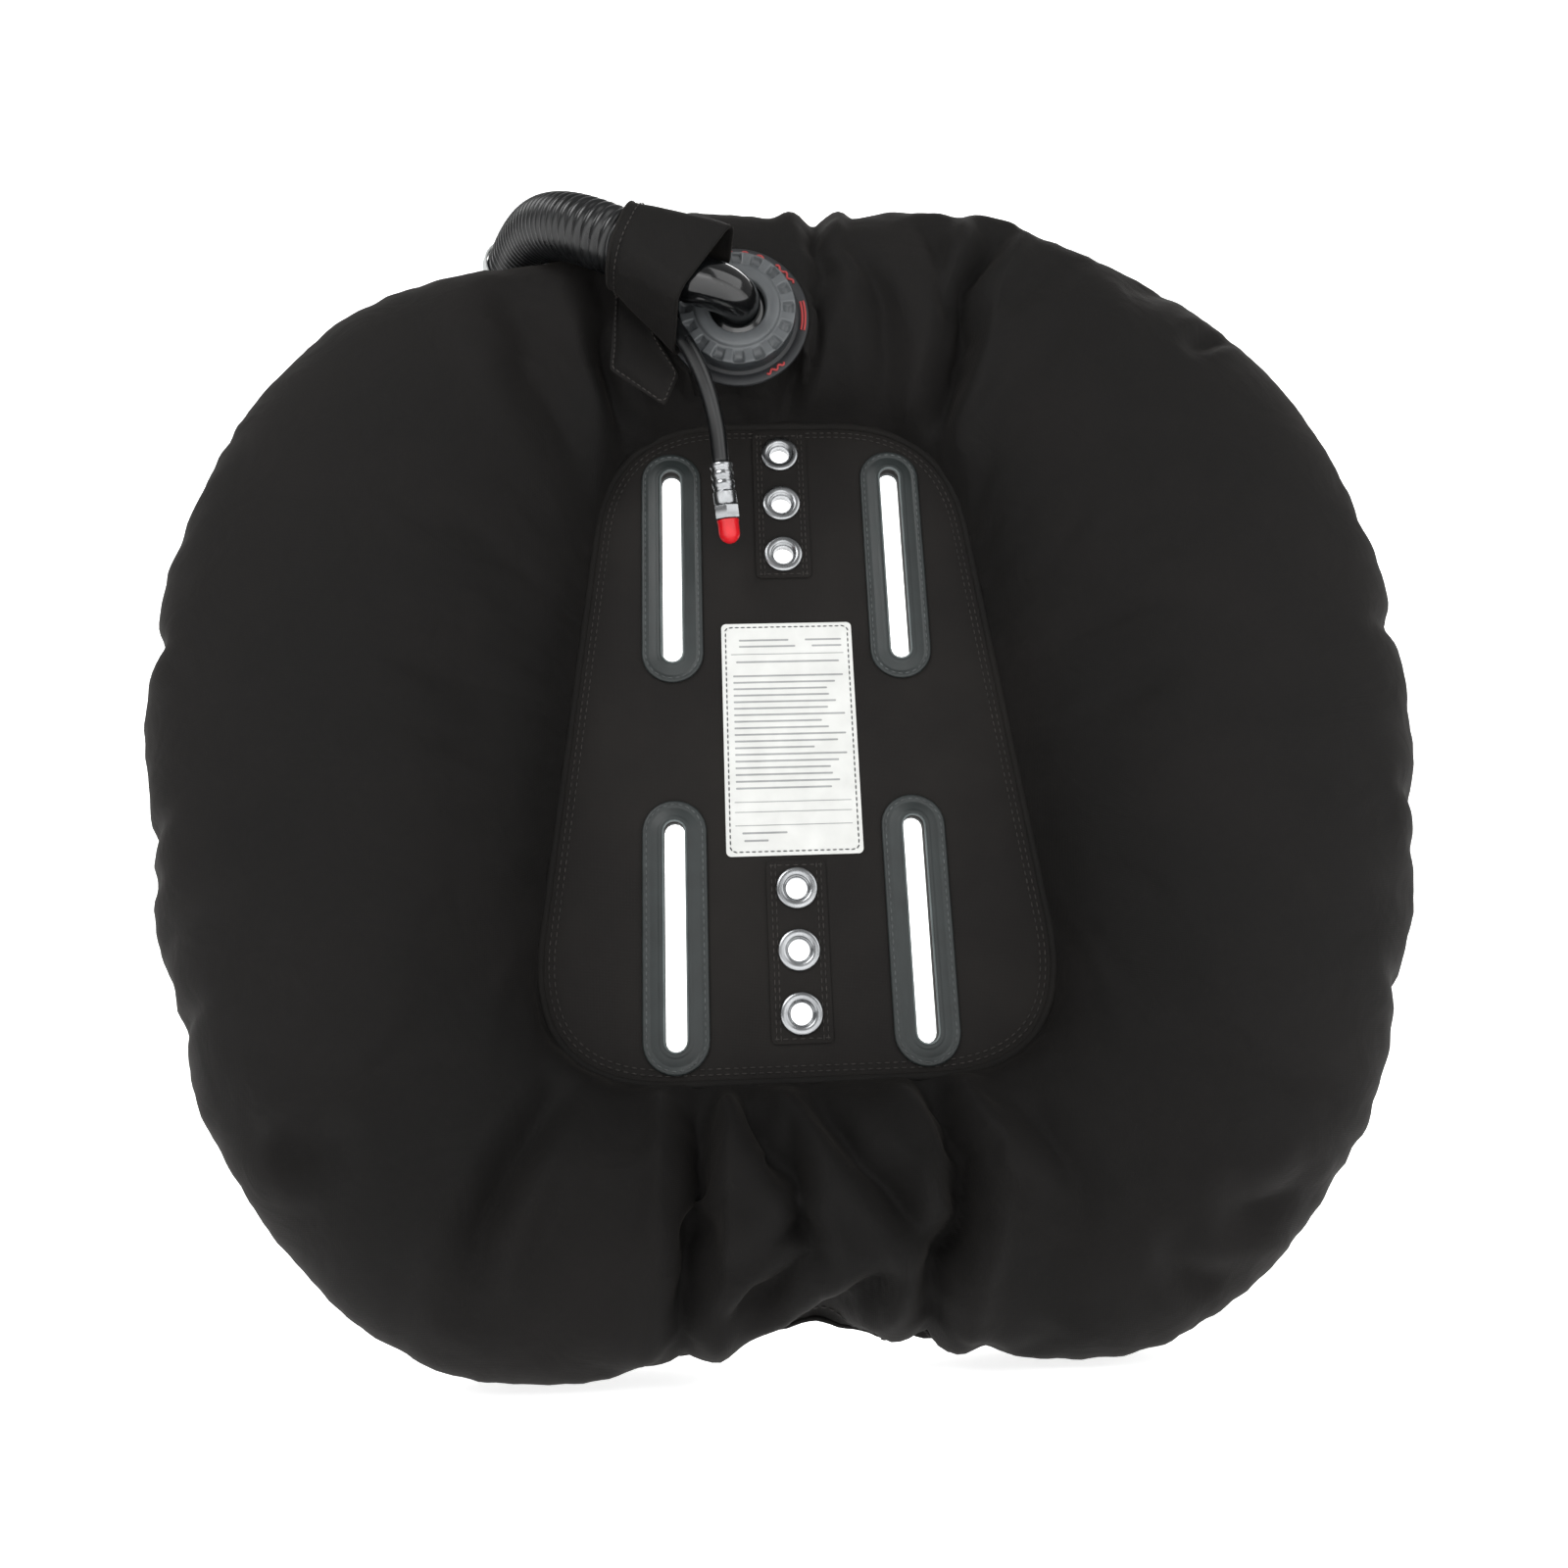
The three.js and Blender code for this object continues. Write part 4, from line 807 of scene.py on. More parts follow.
# %% Folds and puckers
FOLDS = [  # name of the place, points (x, z), width, depth
    ("top right", [(139, 300), (118, 260), (111, 219), (97, 181), (94, 160)], 9, 15),
    ("beside it", [(98, 300), (100, 268), (104, 239), (98, 205)], 8, 7),
    ("top middle", [(26, 330), (23, 300), (30, 262)], 8, 8),
    ("under the port", [(28, 262), (4, 199), (-10, 170)], 8, 7),
    ("right of the port", [(50, 280), (64, 238), (66, 200)], 9, 6),
    ("left of the flap", [(-108, 262), (-103, 206), (-91, 160)], 9, 9),
    ("far left top", [(-160, 240), (-140, 190), (-118, 150)], 14, 4),
    ("bottom left notch", [(-56, -205), (-58, -244), (-57, -274), (-60, -300), (-66, -340)], 9, 17),
    ("swirl", [(-40, -208), (-18, -237), (-10, -262), (-8, -278), (-30, -296)], 8, 10),
    ("bottom middle", [(9, -222), (31, -256), (51, -282), (63, -300)], 8, 8),
    ("bottom right notch", [(63, -208), (76, -245), (71, -275), (58, -300), (52, -345)], 9, 16),
    ("low middle", [(-8, -278), (-3, -291), (-21, -308), (-45, -316)], 7, 8),
    ("low right", [(36, -300), (15, -315), (-4, -322)], 7, 6),
    ("lower left", [(-128, -212), (-149, -246), (-159, -273), (-164, -300)], 10, 9),
    ("lower right", [(109, -222), (125, -251), (134, -285)], 11, 6),
    ("right flank", [(206, -277), (240, -275)], 10, 5),
    ("right low rim", [(170, -300), (196, -318)], 9, 5),
    ("left low rim", [(-230, -230), (-262, -236)], 10, 5),
    ("upper right rim", [(250, 208), (276, 226)], 8, 5),
]


def distance_to_line(points, line):
    """For each point, the distance to a line and how far along it the nearest place is, 0 to 1."""
    best = np.full(len(points), 1e9)
    share = np.zeros(len(points))
    lengths = [math.dist(a, b) for a, b in zip(line, line[1:])]
    done = 0.0
    for (a, b), length in zip(zip(line, line[1:]), lengths):
        a, b = np.array(a, float), np.array(b, float)
        t = ((points - a) @ (b - a) / length**2).clip(0, 1)
        gap = np.linalg.norm(points - a - t[:, None] * (b - a), axis=1)
        nearer = gap < best
        best[nearer] = gap[nearer]
        share[nearer] = (done + t[nearer] * length) / sum(lengths)
        done += length
    return best, share


print("folds", len(FOLDS))

# %% How deep the cloth sinks in the folds
FOLD_DEPTH, FOLD_WIDTH = 1.5, 0.85  # of all folds, over the values in the list
DIVER_SIDE_SHARE = 0.55  # the diver side has the same folds, mirrored and shallower


def fold_depths(points, mirrored):
    """How far each point sinks, in millimetres, for all folds."""
    flat = points[:, [0, 2]] / MM * (-1 if mirrored else 1, 1)
    wander = np.array([noise.noise(Vector((x * 0.03, z * 0.03, 4.0))) for x, z in flat]) * 5
    depth = np.zeros(len(points))
    for _, line, width, deep in FOLDS:
        gap, share = distance_to_line(flat + wander[:, None], line)
        fade = np.sin(math.pi * (0.12 + 0.84 * share)).clip(0)**0.7
        wide = width * FOLD_WIDTH
        valley = np.exp(-(gap / wide)**1.5) - 0.34 * np.exp(-((gap - 2.2 * wide) / (1.1 * wide))**2)
        depth += FOLD_DEPTH * deep * fade * valley
    return depth


# %% [markdown]
# The puckers come from the seams, so they are waves that run across them and fade with distance.
# Noise draws them: short waves and shorter puckers at the rim, long waves further in, and another
# set beside the panel. A slow noise makes some stretches of the rim stronger than others.

# %% Puckers at the seams, and the folds worked in
def shape_the_cloth(mesh):
    points, outwards = coordinates(mesh), normals(mesh)
    tank_side = points[:, 1] < SEAM_Y * MM + 0.004
    depth = np.where(tank_side, fold_depths(points, False),
                     DIVER_SIDE_SHARE * fold_depths(points, True))
    radius = np.hypot(points[:, 0], points[:, 2]) / MM
    bearing = np.arctan2(points[:, 2], points[:, 0])
    from_rim = (np.interp(bearing, angles, outer - bed, period=2 * math.pi) - radius).clip(0)
    from_panel = (radius - np.interp(bearing, angles, inner, period=2 * math.pi)).clip(0)
    for i, (angle, rim) in enumerate(zip(bearing, radius)):
        around = angle * 300
        side_shift = 0 if tank_side[i] else 90
        rim_wave = noise.noise(Vector((around / 17, from_rim[i] / 60, side_shift)))
        long_wave = noise.noise(Vector((around / 46, 7.0, side_shift / 2)))
        panel_wave = noise.noise(Vector((around / 26, from_panel[i] / 50, side_shift + 5)))
        pucker = noise.noise(Vector((around / 8, from_rim[i] / 34, side_shift + 40)))
        strength = 0.5 + 0.9 * abs(noise.noise(Vector((around / 90, 11.0, 0.0))))
        depth[i] += strength * math.exp(-from_rim[i] / 17) * (2.1 * rim_wave + 1.7 * pucker)
        depth[i] += 1.6 * math.exp(-from_rim[i] / 45) * long_wave
        depth[i] += 2.2 * math.exp(-from_panel[i] / 26) * panel_wave
    held = (from_panel / 10).clip(0, 1)
    points = points - outwards * (depth * held)[:, None] * MM
    set_coordinates(mesh, points)
    print("deepest fold", round(float((depth * held).max()), 1), "mm")


shape_the_cloth(wing.data)

# %% [markdown]
# ## Flat seats for the port and the valve
# The inflation port and the dump valve are rigid flanges, so the cloth lies flat under them. Points
# that would stand through a flange are pushed back along its axis, less and less with distance.

# %% Seats under the flanges
PORT = np.array([-25.0, -58.0, 233.0])
PORT_TILT = math.radians(10)
PORT_AXIS = np.array([0, -math.cos(PORT_TILT), -math.sin(PORT_TILT)])
FLANGE_THICKNESS = 2.4
PORT_SEAT, VALVE_SEAT = 44, 32  # radii of the flat cloth
valve_low, valve_high = (np.array(corner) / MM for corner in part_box("dump_valve_flange"))
VALVE_FACE = np.array([(valve_low[0] + valve_high[0]) / 2, valve_low[1] + 10.2,
                       (valve_low[2] + valve_high[2]) / 2])
VALVE_AXIS = np.array([0, 1.0, 0])


def press_flat(mesh, centre, axis, radius, top, blend=26.0):
    """Flat at height top inside the radius, and back to the cloth's own shape over the blend."""
    points = coordinates(mesh) / MM
    height = (points - centre) @ axis
    across = np.linalg.norm(points - centre - height[:, None] * axis, axis=1)
    weight = eased((1 - (across - radius) / blend).clip(0, 1))
    on_side = height > -30
    target = np.where(across < radius, top, np.minimum(height, top + (across - radius) * 0.35))
    shift = np.where(on_side, (np.minimum(height, target) - height) * weight, 0)
    near = on_side & (across < radius + 4)
    shift = np.where(near, (top - height) * weight, shift)
    set_coordinates(mesh, (points + shift[:, None] * axis) * MM)


press_flat(wing.data, PORT, PORT_AXIS, PORT_SEAT, -FLANGE_THICKNESS - 0.3)
press_flat(wing.data, VALVE_FACE, VALVE_AXIS, VALVE_SEAT, -2.5)
wing.data.shade_smooth()
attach(wing, "wing")
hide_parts("tank_side_cover", "diver_side_cover", "inner_bladder")
print("seats of radius", PORT_SEAT, "and", VALVE_SEAT, "mm")

# %% [markdown]
# ## Seams, piping and stitches
# The rim has a folded tape over the raw edges and a row of stitches beside it. Stitches repeat
# along a line, so Geometry Nodes places them: the line is cut into even steps, a small thread
# is put on each step and turned along the line, and the instances are made real.

# %% Stitches along a line
def stitch_tree():
    sizes = {"Pitch": 1.0, "Length": 1.0, "Radius": 1.0, "Finish": THREAD}
    tree, entry = new_tree("stitches", **sizes)
    steps = add(tree, "GeometryNodeResampleCurve",
                {"Curve": entry["Geometry"], "Length": entry["Pitch"]}, mode="LENGTH")
    thread = add(tree, "GeometryNodeMeshUVSphere", {"Segments": 6, "Rings": 4, "Radius": 1.0})
    tangent = add(tree, "GeometryNodeInputTangent").outputs[0]
    turn = add(tree, "FunctionNodeAlignRotationToVector", {"Vector": tangent}, axis="Z")
    half = add(tree, "ShaderNodeMath", {0: entry["Length"], 1: 0.5}, operation="MULTIPLY")
    size = add(tree, "ShaderNodeCombineXYZ",
               {"X": entry["Radius"], "Y": entry["Radius"], "Z": half.outputs[0]})
    placed = add(tree, "GeometryNodeInstanceOnPoints", {
        "Points": steps.outputs[0], "Instance": thread.outputs["Mesh"], "Rotation": turn.outputs[0],
        "Scale": size.outputs[0]})
    real = add(tree, "GeometryNodeRealizeInstances", {"Geometry": placed.outputs[0]})
    smooth = add(tree, "GeometryNodeSetShadeSmooth", {"Geometry": real.outputs[0]})
    return end_tree(tree, smooth.outputs[0], entry["Finish"])


STITCHES = stitch_tree()


def stitched(name, line, finish=THREAD, pitch=4.2, length=3.1, radius=0.42, closed=True):
    """A row of stitches along a line; a stitch is shorter than the pitch by the hole between two."""
    return run_tree(line_curve(name, line, closed), STITCHES, Pitch=pitch * MM, Length=length * MM,
                    Radius=radius * MM, Finish=finish)


print("stitch tree with", len(STITCHES.nodes), "nodes")

# %% Rim tape and rim stitches
TAPE_RADIUS, TAPE_FLATNESS = 2.6, 0.55
ROWS_FROM_RIM = 2  # how many rows of cloth points lie between the rim and its stitches


def column_line(mesh, column, lift):
    """The line of cloth points that were one column of the donut, lifted off the cloth."""
    points, outwards = coordinates(mesh), normals(mesh)
    row = np.arange(AROUND) * RING + column
    return (points[row] + outwards[row] * lift * MM) / MM


rim_tape = sweep("rim_tape", even_loop(column_line(wing.data, ACROSS, 0.2), 4), TAPE_RADIUS,
                 sides=12, closed=True, flat=TAPE_FLATNESS)
rim_tape.data.materials.append(TAPE_NYLON)
rim_thread = merged("rim_stitching", *[
    stitched(name, even_loop(column_line(wing.data, column, 0.15), 4))
    for name, column in (("rim_stitches", ACROSS - ROWS_FROM_RIM),
                         ("rim_stitches_back", ACROSS + ROWS_FROM_RIM))])
for obj in (rim_tape, rim_thread):
    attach(obj, "wing")
print("rim stitch faces", len(rim_thread.data.polygons))

# %% [markdown]
# ## The centre panel
# The panel is one flat sheet of stiff nylon with four long webbing slots and six grommets. Its
# outline and its holes are closed lines, so it is drawn as a flat curve with holes, given a
# thickness and made a mesh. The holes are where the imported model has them.

# %% Panel sheet
SLOT_X, SLOT_TOP_Z, SLOT_FOOT_Z = 69.0, 98.5, -128.5
SLOT_HALF_WIDTH, SLOT_HALF_LENGTH = 6.0, 64.5
PATCH_HALF_WIDTH, PATCH_HALF_LENGTH = 18.5, 77.0
GROMMET_GROUPS, GROMMET_STEP = (139.7, -139.7), 35.0
GROMMET_Z = [z + step for z in GROMMET_GROUPS for step in (GROMMET_STEP, 0, -GROMMET_STEP)]
GROMMET_HOLE = 7.3
PANEL_THICKNESS = 3


def stadium(cx, cz, half_width, half_length, steps=14):
    """A long hole with round ends, upright, as points (x, z)."""
    straight = half_length - half_width
    top = [(cx + half_width * math.cos(a), cz + straight + half_width * math.sin(a))
           for a in np.linspace(0, math.pi, steps)]
    foot = [(cx + half_width * math.cos(a), cz - straight + half_width * math.sin(a))
            for a in np.linspace(math.pi, 2 * math.pi, steps)]
    return top + foot


def grommet_hole(cz):
    return [(GROMMET_HOLE * math.cos(a), cz + GROMMET_HOLE * math.sin(a))
            for a in np.linspace(0, 2 * math.pi, 32, endpoint=False)]


def flat_piece(name, outline, holes, low_y, high_y):
    """A sheet with holes between two heights in y, made from one flat curve."""
    curve = bpy.data.curves.new(name, "CURVE")
    curve.dimensions = "2D"
    curve.fill_mode = "BOTH"
    for loop in (outline, *holes):
        spline = curve.splines.new("POLY")
        spline.points.add(len(loop) - 1)
        spline.points.foreach_set("co", [v for x, z in loop for v in (x * MM, z * MM, 0, 1)])
        spline.use_cyclic_u = True
    curve.extrude = (high_y - low_y) / 2 * MM
    obj = made_plain(put_in_scene(name, curve))
    points = coordinates(obj.data)
    middle = (low_y + high_y) / 2 * MM
    set_coordinates(obj.data, np.c_[points[:, 0], middle - points[:, 2], points[:, 1]])
    close_up(obj.data)
    return obj


slot_centres = [(x, z) for x in (-SLOT_X, SLOT_X) for z in (SLOT_TOP_Z, SLOT_FOOT_Z)]
panel = soften(flat_piece("centre_panel_sheet", panel_outline(), [
    *[stadium(x, z, SLOT_HALF_WIDTH, SLOT_HALF_LENGTH) for x, z in slot_centres],
    *[grommet_hole(z) for z in GROMMET_Z]], 0, PANEL_THICKNESS), 0.5)
panel.data.materials.append(PANEL_NYLON)
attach(panel, "wing")
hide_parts("centre_panel")
print("panel faces", len(panel.data.polygons))

# %% Piping and stitches round the panel
PIPING_RADIUS = 2.6
PANEL_STITCH_INSETS = (5.5, 8.5)


def inset_loop(outline, inset):
    """A closed outline moved towards its own middle."""
    outline = even_loop(np.c_[outline, np.zeros(len(outline))], 3)[:, :2]
    along = np.roll(outline, -1, 0) - np.roll(outline, 1, 0)
    along /= np.linalg.norm(along, axis=1)[:, None]
    square = np.c_[-along[:, 1], along[:, 0]]
    if ((outline + square) ** 2).sum() > ((outline - square) ** 2).sum():
        square = -square
    return outline + square * inset


def at_height(loop, y):
    return np.array([(x, y, z) for x, z in loop])


piping = sweep("panel_piping", at_height(inset_loop(panel_outline(), 0.4), -0.1), PIPING_RADIUS,
               sides=12, closed=True)
piping.data.materials.append(TAPE_NYLON)
panel_thread = merged("panel_stitching", *[
    stitched(f"panel_stitches_{inset}", at_height(inset_loop(panel_outline(), inset), -0.35), pitch=4.6)
    for inset in PANEL_STITCH_INSETS])
for obj in (piping, panel_thread):
    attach(obj, "wing")
print("panel stitch faces", len(panel_thread.data.polygons))

# %% [markdown]
# ## Slot patches
# Rubber patches carry the load where the webbing goes through. Each is a long oval with a stepped
# edge, a pressed groove and a raised lip around the slot. The steps are a short profile, and every
# point of the profile is one oval, set in by that much: rings joined by the skin helper.

# %% Patches on both sides
PATCH_PROFILE = [  # set in from the edge, height above the panel
    (0.0, 0.3), (0.0, 1.2), (0.5, 1.8), (1.2, 2.0), (3.4, 2.0), (3.9, 1.6), (4.7, 1.6), (5.2, 2.0),
    (8.4, 2.1), (9.2, 2.5), (10.0, 2.9), (11.2, 2.9), (12.1, 2.5), (12.3, 1.8), (12.3, 0.3)]
# Moulded rubber at the lip of the slot, rubbed by the webbing: paler and smoother than the patch.
SLOT_RIM = moulded("rubbed slot rubber", "4f5757", "687070", 0.4, grain=900, depth=0.05)


def patch(name, x, z, node, face, out):
    """face is the panel's face in y, out is -1 towards the tank and +1 towards the diver."""
    def oval(inset, height, steps=18):
        loop = stadium(x, z, PATCH_HALF_WIDTH - inset, PATCH_HALF_LENGTH - inset, steps)
        return at_height(loop, face + out * height)
    body = skin(f"{name}_body", [oval(inset, height) for inset, height in PATCH_PROFILE], closed=True)
    body.data.materials.append(PATCH_RUBBER)
    rim = sweep(f"{name}_rim", even_loop(oval(12.0, 2.75), 2.5), 0.55, sides=8, closed=True)
    rim.data.materials.append(SLOT_RIM)
    thread = stitched(f"{name}_thread", even_loop(oval(2.4, 2.1), 3), PALE_THREAD, pitch=4.4, radius=0.5)
    whole = merged(name, body, rim, thread)
    whole.data.shade_smooth()
    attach(whole, "wing")
    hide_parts(node)


for x, side_name in ((-SLOT_X, "left"), (SLOT_X, "right")):
    for z, level in ((SLOT_TOP_Z, "upper"), (SLOT_FOOT_Z, "lower")):
        for wearer, face, out in (("tank", 0, -1), ("diver", PANEL_THICKNESS, 1)):
            patch(f"{wearer}_patch_{level}_{side_name}", x, z,
                  f"slot_patch_{wearer}_{level}_{side_name}", face, out)
print("a patch on each side of", len(slot_centres), "slots")

# %% [markdown]
# ## Grommets and their strips
# The bolts of the tank bands go through steel grommets. A strip of the same nylon backs each row
# of three. A grommet is turned: a barrel with a rolled rim. One is made and Geometry Nodes puts it
# on six points, because all six are the same.

# %% Grommet strips
def rounded_box(cx, cz, half_width, half_height, radius, steps=8):
    loop = []
    for sx, sz, start in ((1, 1, 0), (-1, 1, 0.5), (-1, -1, 1), (1, -1, 1.5)):
        for a in np.linspace(start * math.pi, (start + 0.5) * math.pi, steps):
            loop.append((cx + sx * (half_width - radius) + radius * math.cos(a),
                         cz + sz * (half_height - radius) + radius * math.sin(a)))
    return loop


STRIP_BACK, STRIP_FACE, STRIP_THREAD = -1.1, -0.3, -1.2  # places in y
STRIP_HALF_WIDTH, STRIP_HALF_HEIGHT = 17, 51
for z, level in zip(GROMMET_GROUPS, ("upper", "lower")):
    holes = [grommet_hole(z + step) for step in (GROMMET_STEP, 0, -GROMMET_STEP)]
    outline = rounded_box(0, z, STRIP_HALF_WIDTH, STRIP_HALF_HEIGHT, 3)
    sheet = soften(flat_piece(f"strip_sheet_{level}", outline, holes, STRIP_BACK, STRIP_FACE), 0.25)
    sheet.data.materials.append(PANEL_NYLON)
    sides = [(f"strip_thread_{level}_{i}", [(x, STRIP_THREAD, z - 48), (x, STRIP_THREAD, z + 48)])
             for i, x in enumerate((-14.2, -11.8, 11.8, 14.2))]
    ends = [(f"strip_end_{level}_{i}", [(-14, STRIP_THREAD, z + dz), (14, STRIP_THREAD, z + dz)])
            for i, dz in enumerate((-48.4, 48.4))]
    rows = [stitched(name, line, radius=0.45, closed=False) for name, line in sides + ends]
    strip = merged(f"grommet_strip_{level}", sheet, *rows)
    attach(strip, "wing")
    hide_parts(f"{level}_grommet_strip")
    print(strip.name, len(strip.data.polygons), "faces")


# %% Grommets on six points
def repeat_tree():
    tree, entry = new_tree("repeat", Item=camera, Finish=BRIGHT_STEEL)
    item = add(tree, "GeometryNodeObjectInfo", {"Object": entry["Item"]})
    placed = add(tree, "GeometryNodeInstanceOnPoints",
                 {"Points": entry["Geometry"], "Instance": item.outputs["Geometry"]})
    real = add(tree, "GeometryNodeRealizeInstances", {"Geometry": placed.outputs[0]})
    return end_tree(tree, real.outputs[0], entry["Finish"])


REPEAT = repeat_tree()


def repeated(name, item, places, finish):
    """The item, drawn around the origin, at every place."""
    mesh = bpy.data.meshes.new(name)
    mesh.from_pydata([[v * MM for v in place] for place in places], [], [])
    made = run_tree(put_in_scene(name, mesh), REPEAT, Item=item, Finish=finish)
    bpy.data.objects.remove(item)
    made.data.shade_smooth()
    return made


rolled_rim = [(9.6 + 2.3 * math.cos(a), 2.0 + 1.1 * math.sin(a)) for a in np.linspace(0, math.pi, 10)]
GROMMET_PROFILE = [(11.9, 1.4), *rolled_rim, (7.0, 1.9), (6.2, 1.2), (5.95, 0.2), (5.95, -4.4),
                   (6.9, -4.4), (6.9, 1.4)]
WASHER_PROFILE = [(7.3, -3.3), (11.9, -3.3), (11.9, -4.1), (11.2, -4.6), (7.6, -4.6), (7.3, -4.3)]
names = [f"{level}_{step}" for level in ("upper", "lower") for step in ("top", "middle", "bottom")]
for name, profile, prefix, facets in (("steel_grommets", GROMMET_PROFILE, "grommet", 56),
                                      ("steel_washers", WASHER_PROFILE, "grommet_washer", 48)):
    item = turned(f"one_{prefix}", profile, (0, 0, 0), (0, -1, 0), facets)
    made = repeated(name, item, [(0, 0, z) for z in GROMMET_Z], BRIGHT_STEEL)
    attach(made, "wing")
    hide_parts(*[f"{prefix}_{place}" for place in names])
    print(name, len(made.data.polygons), "faces")

# %% [markdown]
# ## The label
# A soft printed label is sewn on between the rows. The real print is not repeated: plain grey bars
# stand where text would be.

# %% Label with plain bars
LABEL_Z = -13.5
LINES = [(61, 30, -14), (57, 34, -12), (61, 22, 22), (57, 18, 24), (47, 62, 0)]  # height, width, middle
for i in range(18):  # the long block: every third and fourth line is shorter than the one before
    shorter, last = i % 3, i % 4 == 3
    LINES.append((38 - 4.1 * i, 66 - 5 * shorter - 9 * last, -2.5 * shorter - 4.5 * last))
BARS = [(middle, height, width, 1.15) for height, width, middle in LINES]
BARS += [(0, 52, 68, 0.5), (0, -40, 68, 0.5), (0, -46, 68, 0.5), (0, -54, 68, 0.5),
         (-17, -58.5, 26, 1.2), (-22, -63, 14, 1.2)]
film = soften(flat_piece("label_film_sheet", rounded_box(0, LABEL_Z, 39.5, 72, 3), [], -0.9, -0.3), 0.2)
film.data.materials.append(LABEL_FILM)
bars = []
for i, (x, z, width, height) in enumerate(BARS):
    outline = rounded_box(x, LABEL_Z + z, width / 2, height / 2, min(1, height / 2.5), 4)
    bar = flat_piece(f"bar_{i}", outline, [], -1.0, -0.85)
    bar.data.materials.append(PRINT_GREY)
    bars.append(bar)
label_edge = at_height(rounded_box(0, LABEL_Z, 37, 69.5, 2), -1.0)
label_thread = stitched("label_thread", even_loop(label_edge, 3), PALE_THREAD, pitch=3.6, length=2.7)
label = merged("sewn_label", film, *bars, label_thread)
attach(label, "wing")
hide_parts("label")
print("label with", len(bars), "bars")

# %% [markdown]
# ## The inflation port
# A stiff flange is welded to the cover. The elbow drops on its neck and a big ring screws down over
# both. The ring has sixteen finger pockets. They are pressed into a turned shape: a point sinks by
# an amount that depends on its distance from the axis and its angle round it.

# %% Port flange with its printed marks
def on_port(name, profile, finish, facets=96):
    made = turned(name, profile, PORT, PORT_AXIS, facets)
    made.data.materials.append(finish)
    return made


flange_body = on_port("flange_body", [
    (17, -2.4), (43, -2.4), (43, -0.7), (42.2, -0.1), (37.6, 0), (37.2, -0.3), (36.4, -0.3), (36, 0),
    (22, 0), (22, 5.6), (21.6, 6), (17, 6)], FLANGE_PLASTIC)
port_u, port_v, _ = basis(PORT_AXIS)
if port_v[2] < 0:
    port_u, port_v = -port_u, -port_v


def on_flange(radius, bearing, height):
    """A place on the flange; the bearing is in degrees, 0 to the right and 90 up."""
    angle = math.radians(bearing)
    right = port_u if port_u[0] > 0 else -port_u
    return PORT + radius * (math.cos(angle) * right + math.sin(angle) * port_v) + height * PORT_AXIS


MARKS = [  # middle bearing, span, radii, wave
    (90, 26, (39.0, 40.9), 0), (48, 22, (39.8,), 0.9), (8, 34, (39.6,), 1.2), (-38, 24, (39.8,), 0.9),
    (-84, 26, (39.0, 40.9), 0), (146, 18, (39.8,), 0.9)]
marks = []
for i, (bearing, span, radii, wave) in enumerate(MARKS):
    for radius in radii:
        line = [on_flange(radius + wave * math.sin(t * 5 * math.pi), bearing - span / 2 + t * span, 0.05)
                for t in np.linspace(0, 1, 40)]
        mark = sweep(f"mark_{i}_{radius}", line, 0.75, sides=6)
        mark.data.materials.append(MARK_RED)
        marks.append(mark)
flange = merged("welded_port_flange", flange_body, *marks)
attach(flange, "wing")
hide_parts("port_flange")
print("flange marks", len(marks))

# %% Lock ring with finger pockets
POCKETS, POCKET_DEPTH = 16, 3.4
POCKETS_FROM, POCKETS_SPAN = 27.0, 7.2  # radii between which the pockets lie
SKIRT_FROM = 34.2
face_line = [(r, 10.9 - 0.05 * (r - 27)) for r in np.linspace(26, 33.6, 13)]
lock_ring = on_port("lock_ring_body", [
    (16.5, 11.0), (17.4, 13.2), (18.2, 13.6), (24.0, 13.6), (25.0, 13.0), (25.4, 11.6), *face_line,
    (34.4, 10.2), (34.9, 9.2), (35, 2.0), (34.6, 0.6), (23.2, 0.6), (23.2, 10.2), (16.8, 10.4)],
    RING_PLASTIC, facets=320)
points = coordinates(lock_ring.data) / MM
height = (points - PORT) @ PORT_AXIS
flat = points - PORT - height[:, None] * PORT_AXIS
radius = np.linalg.norm(flat, axis=1)
turn_angle = np.arctan2(flat @ port_v, flat @ port_u)
pocket = eased(((np.cos(POCKETS * turn_angle) + 0.25) / 0.6).clip(0, 1))
band = np.sin(((radius - POCKETS_FROM) / POCKETS_SPAN).clip(0, 1) * math.pi) ** 0.6
sink = pocket * band * POCKET_DEPTH * (height > 8)
set_coordinates(lock_ring.data, (points - PORT_AXIS * sink[:, None]) * MM)
lock_ring.name = "scalloped_lock_ring"
# The second finish is painted shade: the ring's plastic made darker on the skirt faces beyond SKIRT_FROM.
lock_ring.data.materials.append(PAINTED_SKIRT_SHADE_AND_VENT_PLASTIC)
for face in lock_ring.data.polygons:
    middle = np.array(face.center) / MM - PORT
    if np.linalg.norm(middle - (middle @ PORT_AXIS) * PORT_AXIS) > SKIRT_FROM:
        face.material_index = 1
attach(lock_ring, "lock_ring")
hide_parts("lock_ring")
print("lock ring faces", len(lock_ring.data.polygons))

# %% Elbow
ELBOW_RADIUS, SOCKET_RADIUS = 13.5, 15.6  # the tube, and the end that holds the hose
COLLAR_PROFILE = [(12, 8.3), (20.5, 8.3), (20.5, 9.8), (20, 10.3), (15.2, 10.3), (14.1, 11.2), (12, 11.2)]
hose_start = np.array(HOSE_ROUTE[0], float)
outlet = unit(np.array(HOSE_ROUTE[1], float) - hose_start)
bend = bent(PORT + 13 * PORT_AXIS, PORT + 28 * PORT_AXIS, hose_start - 16 * outlet, 30)
elbow_line = [PORT + 8.4 * PORT_AXIS, PORT + 10.6 * PORT_AXIS, *bend, hose_start - 8 * outlet,
              hose_start - 7.6 * outlet, hose_start - 0.4 * outlet]
radii = [ELBOW_RADIUS] * (len(elbow_line) - 2) + [SOCKET_RADIUS] * 2
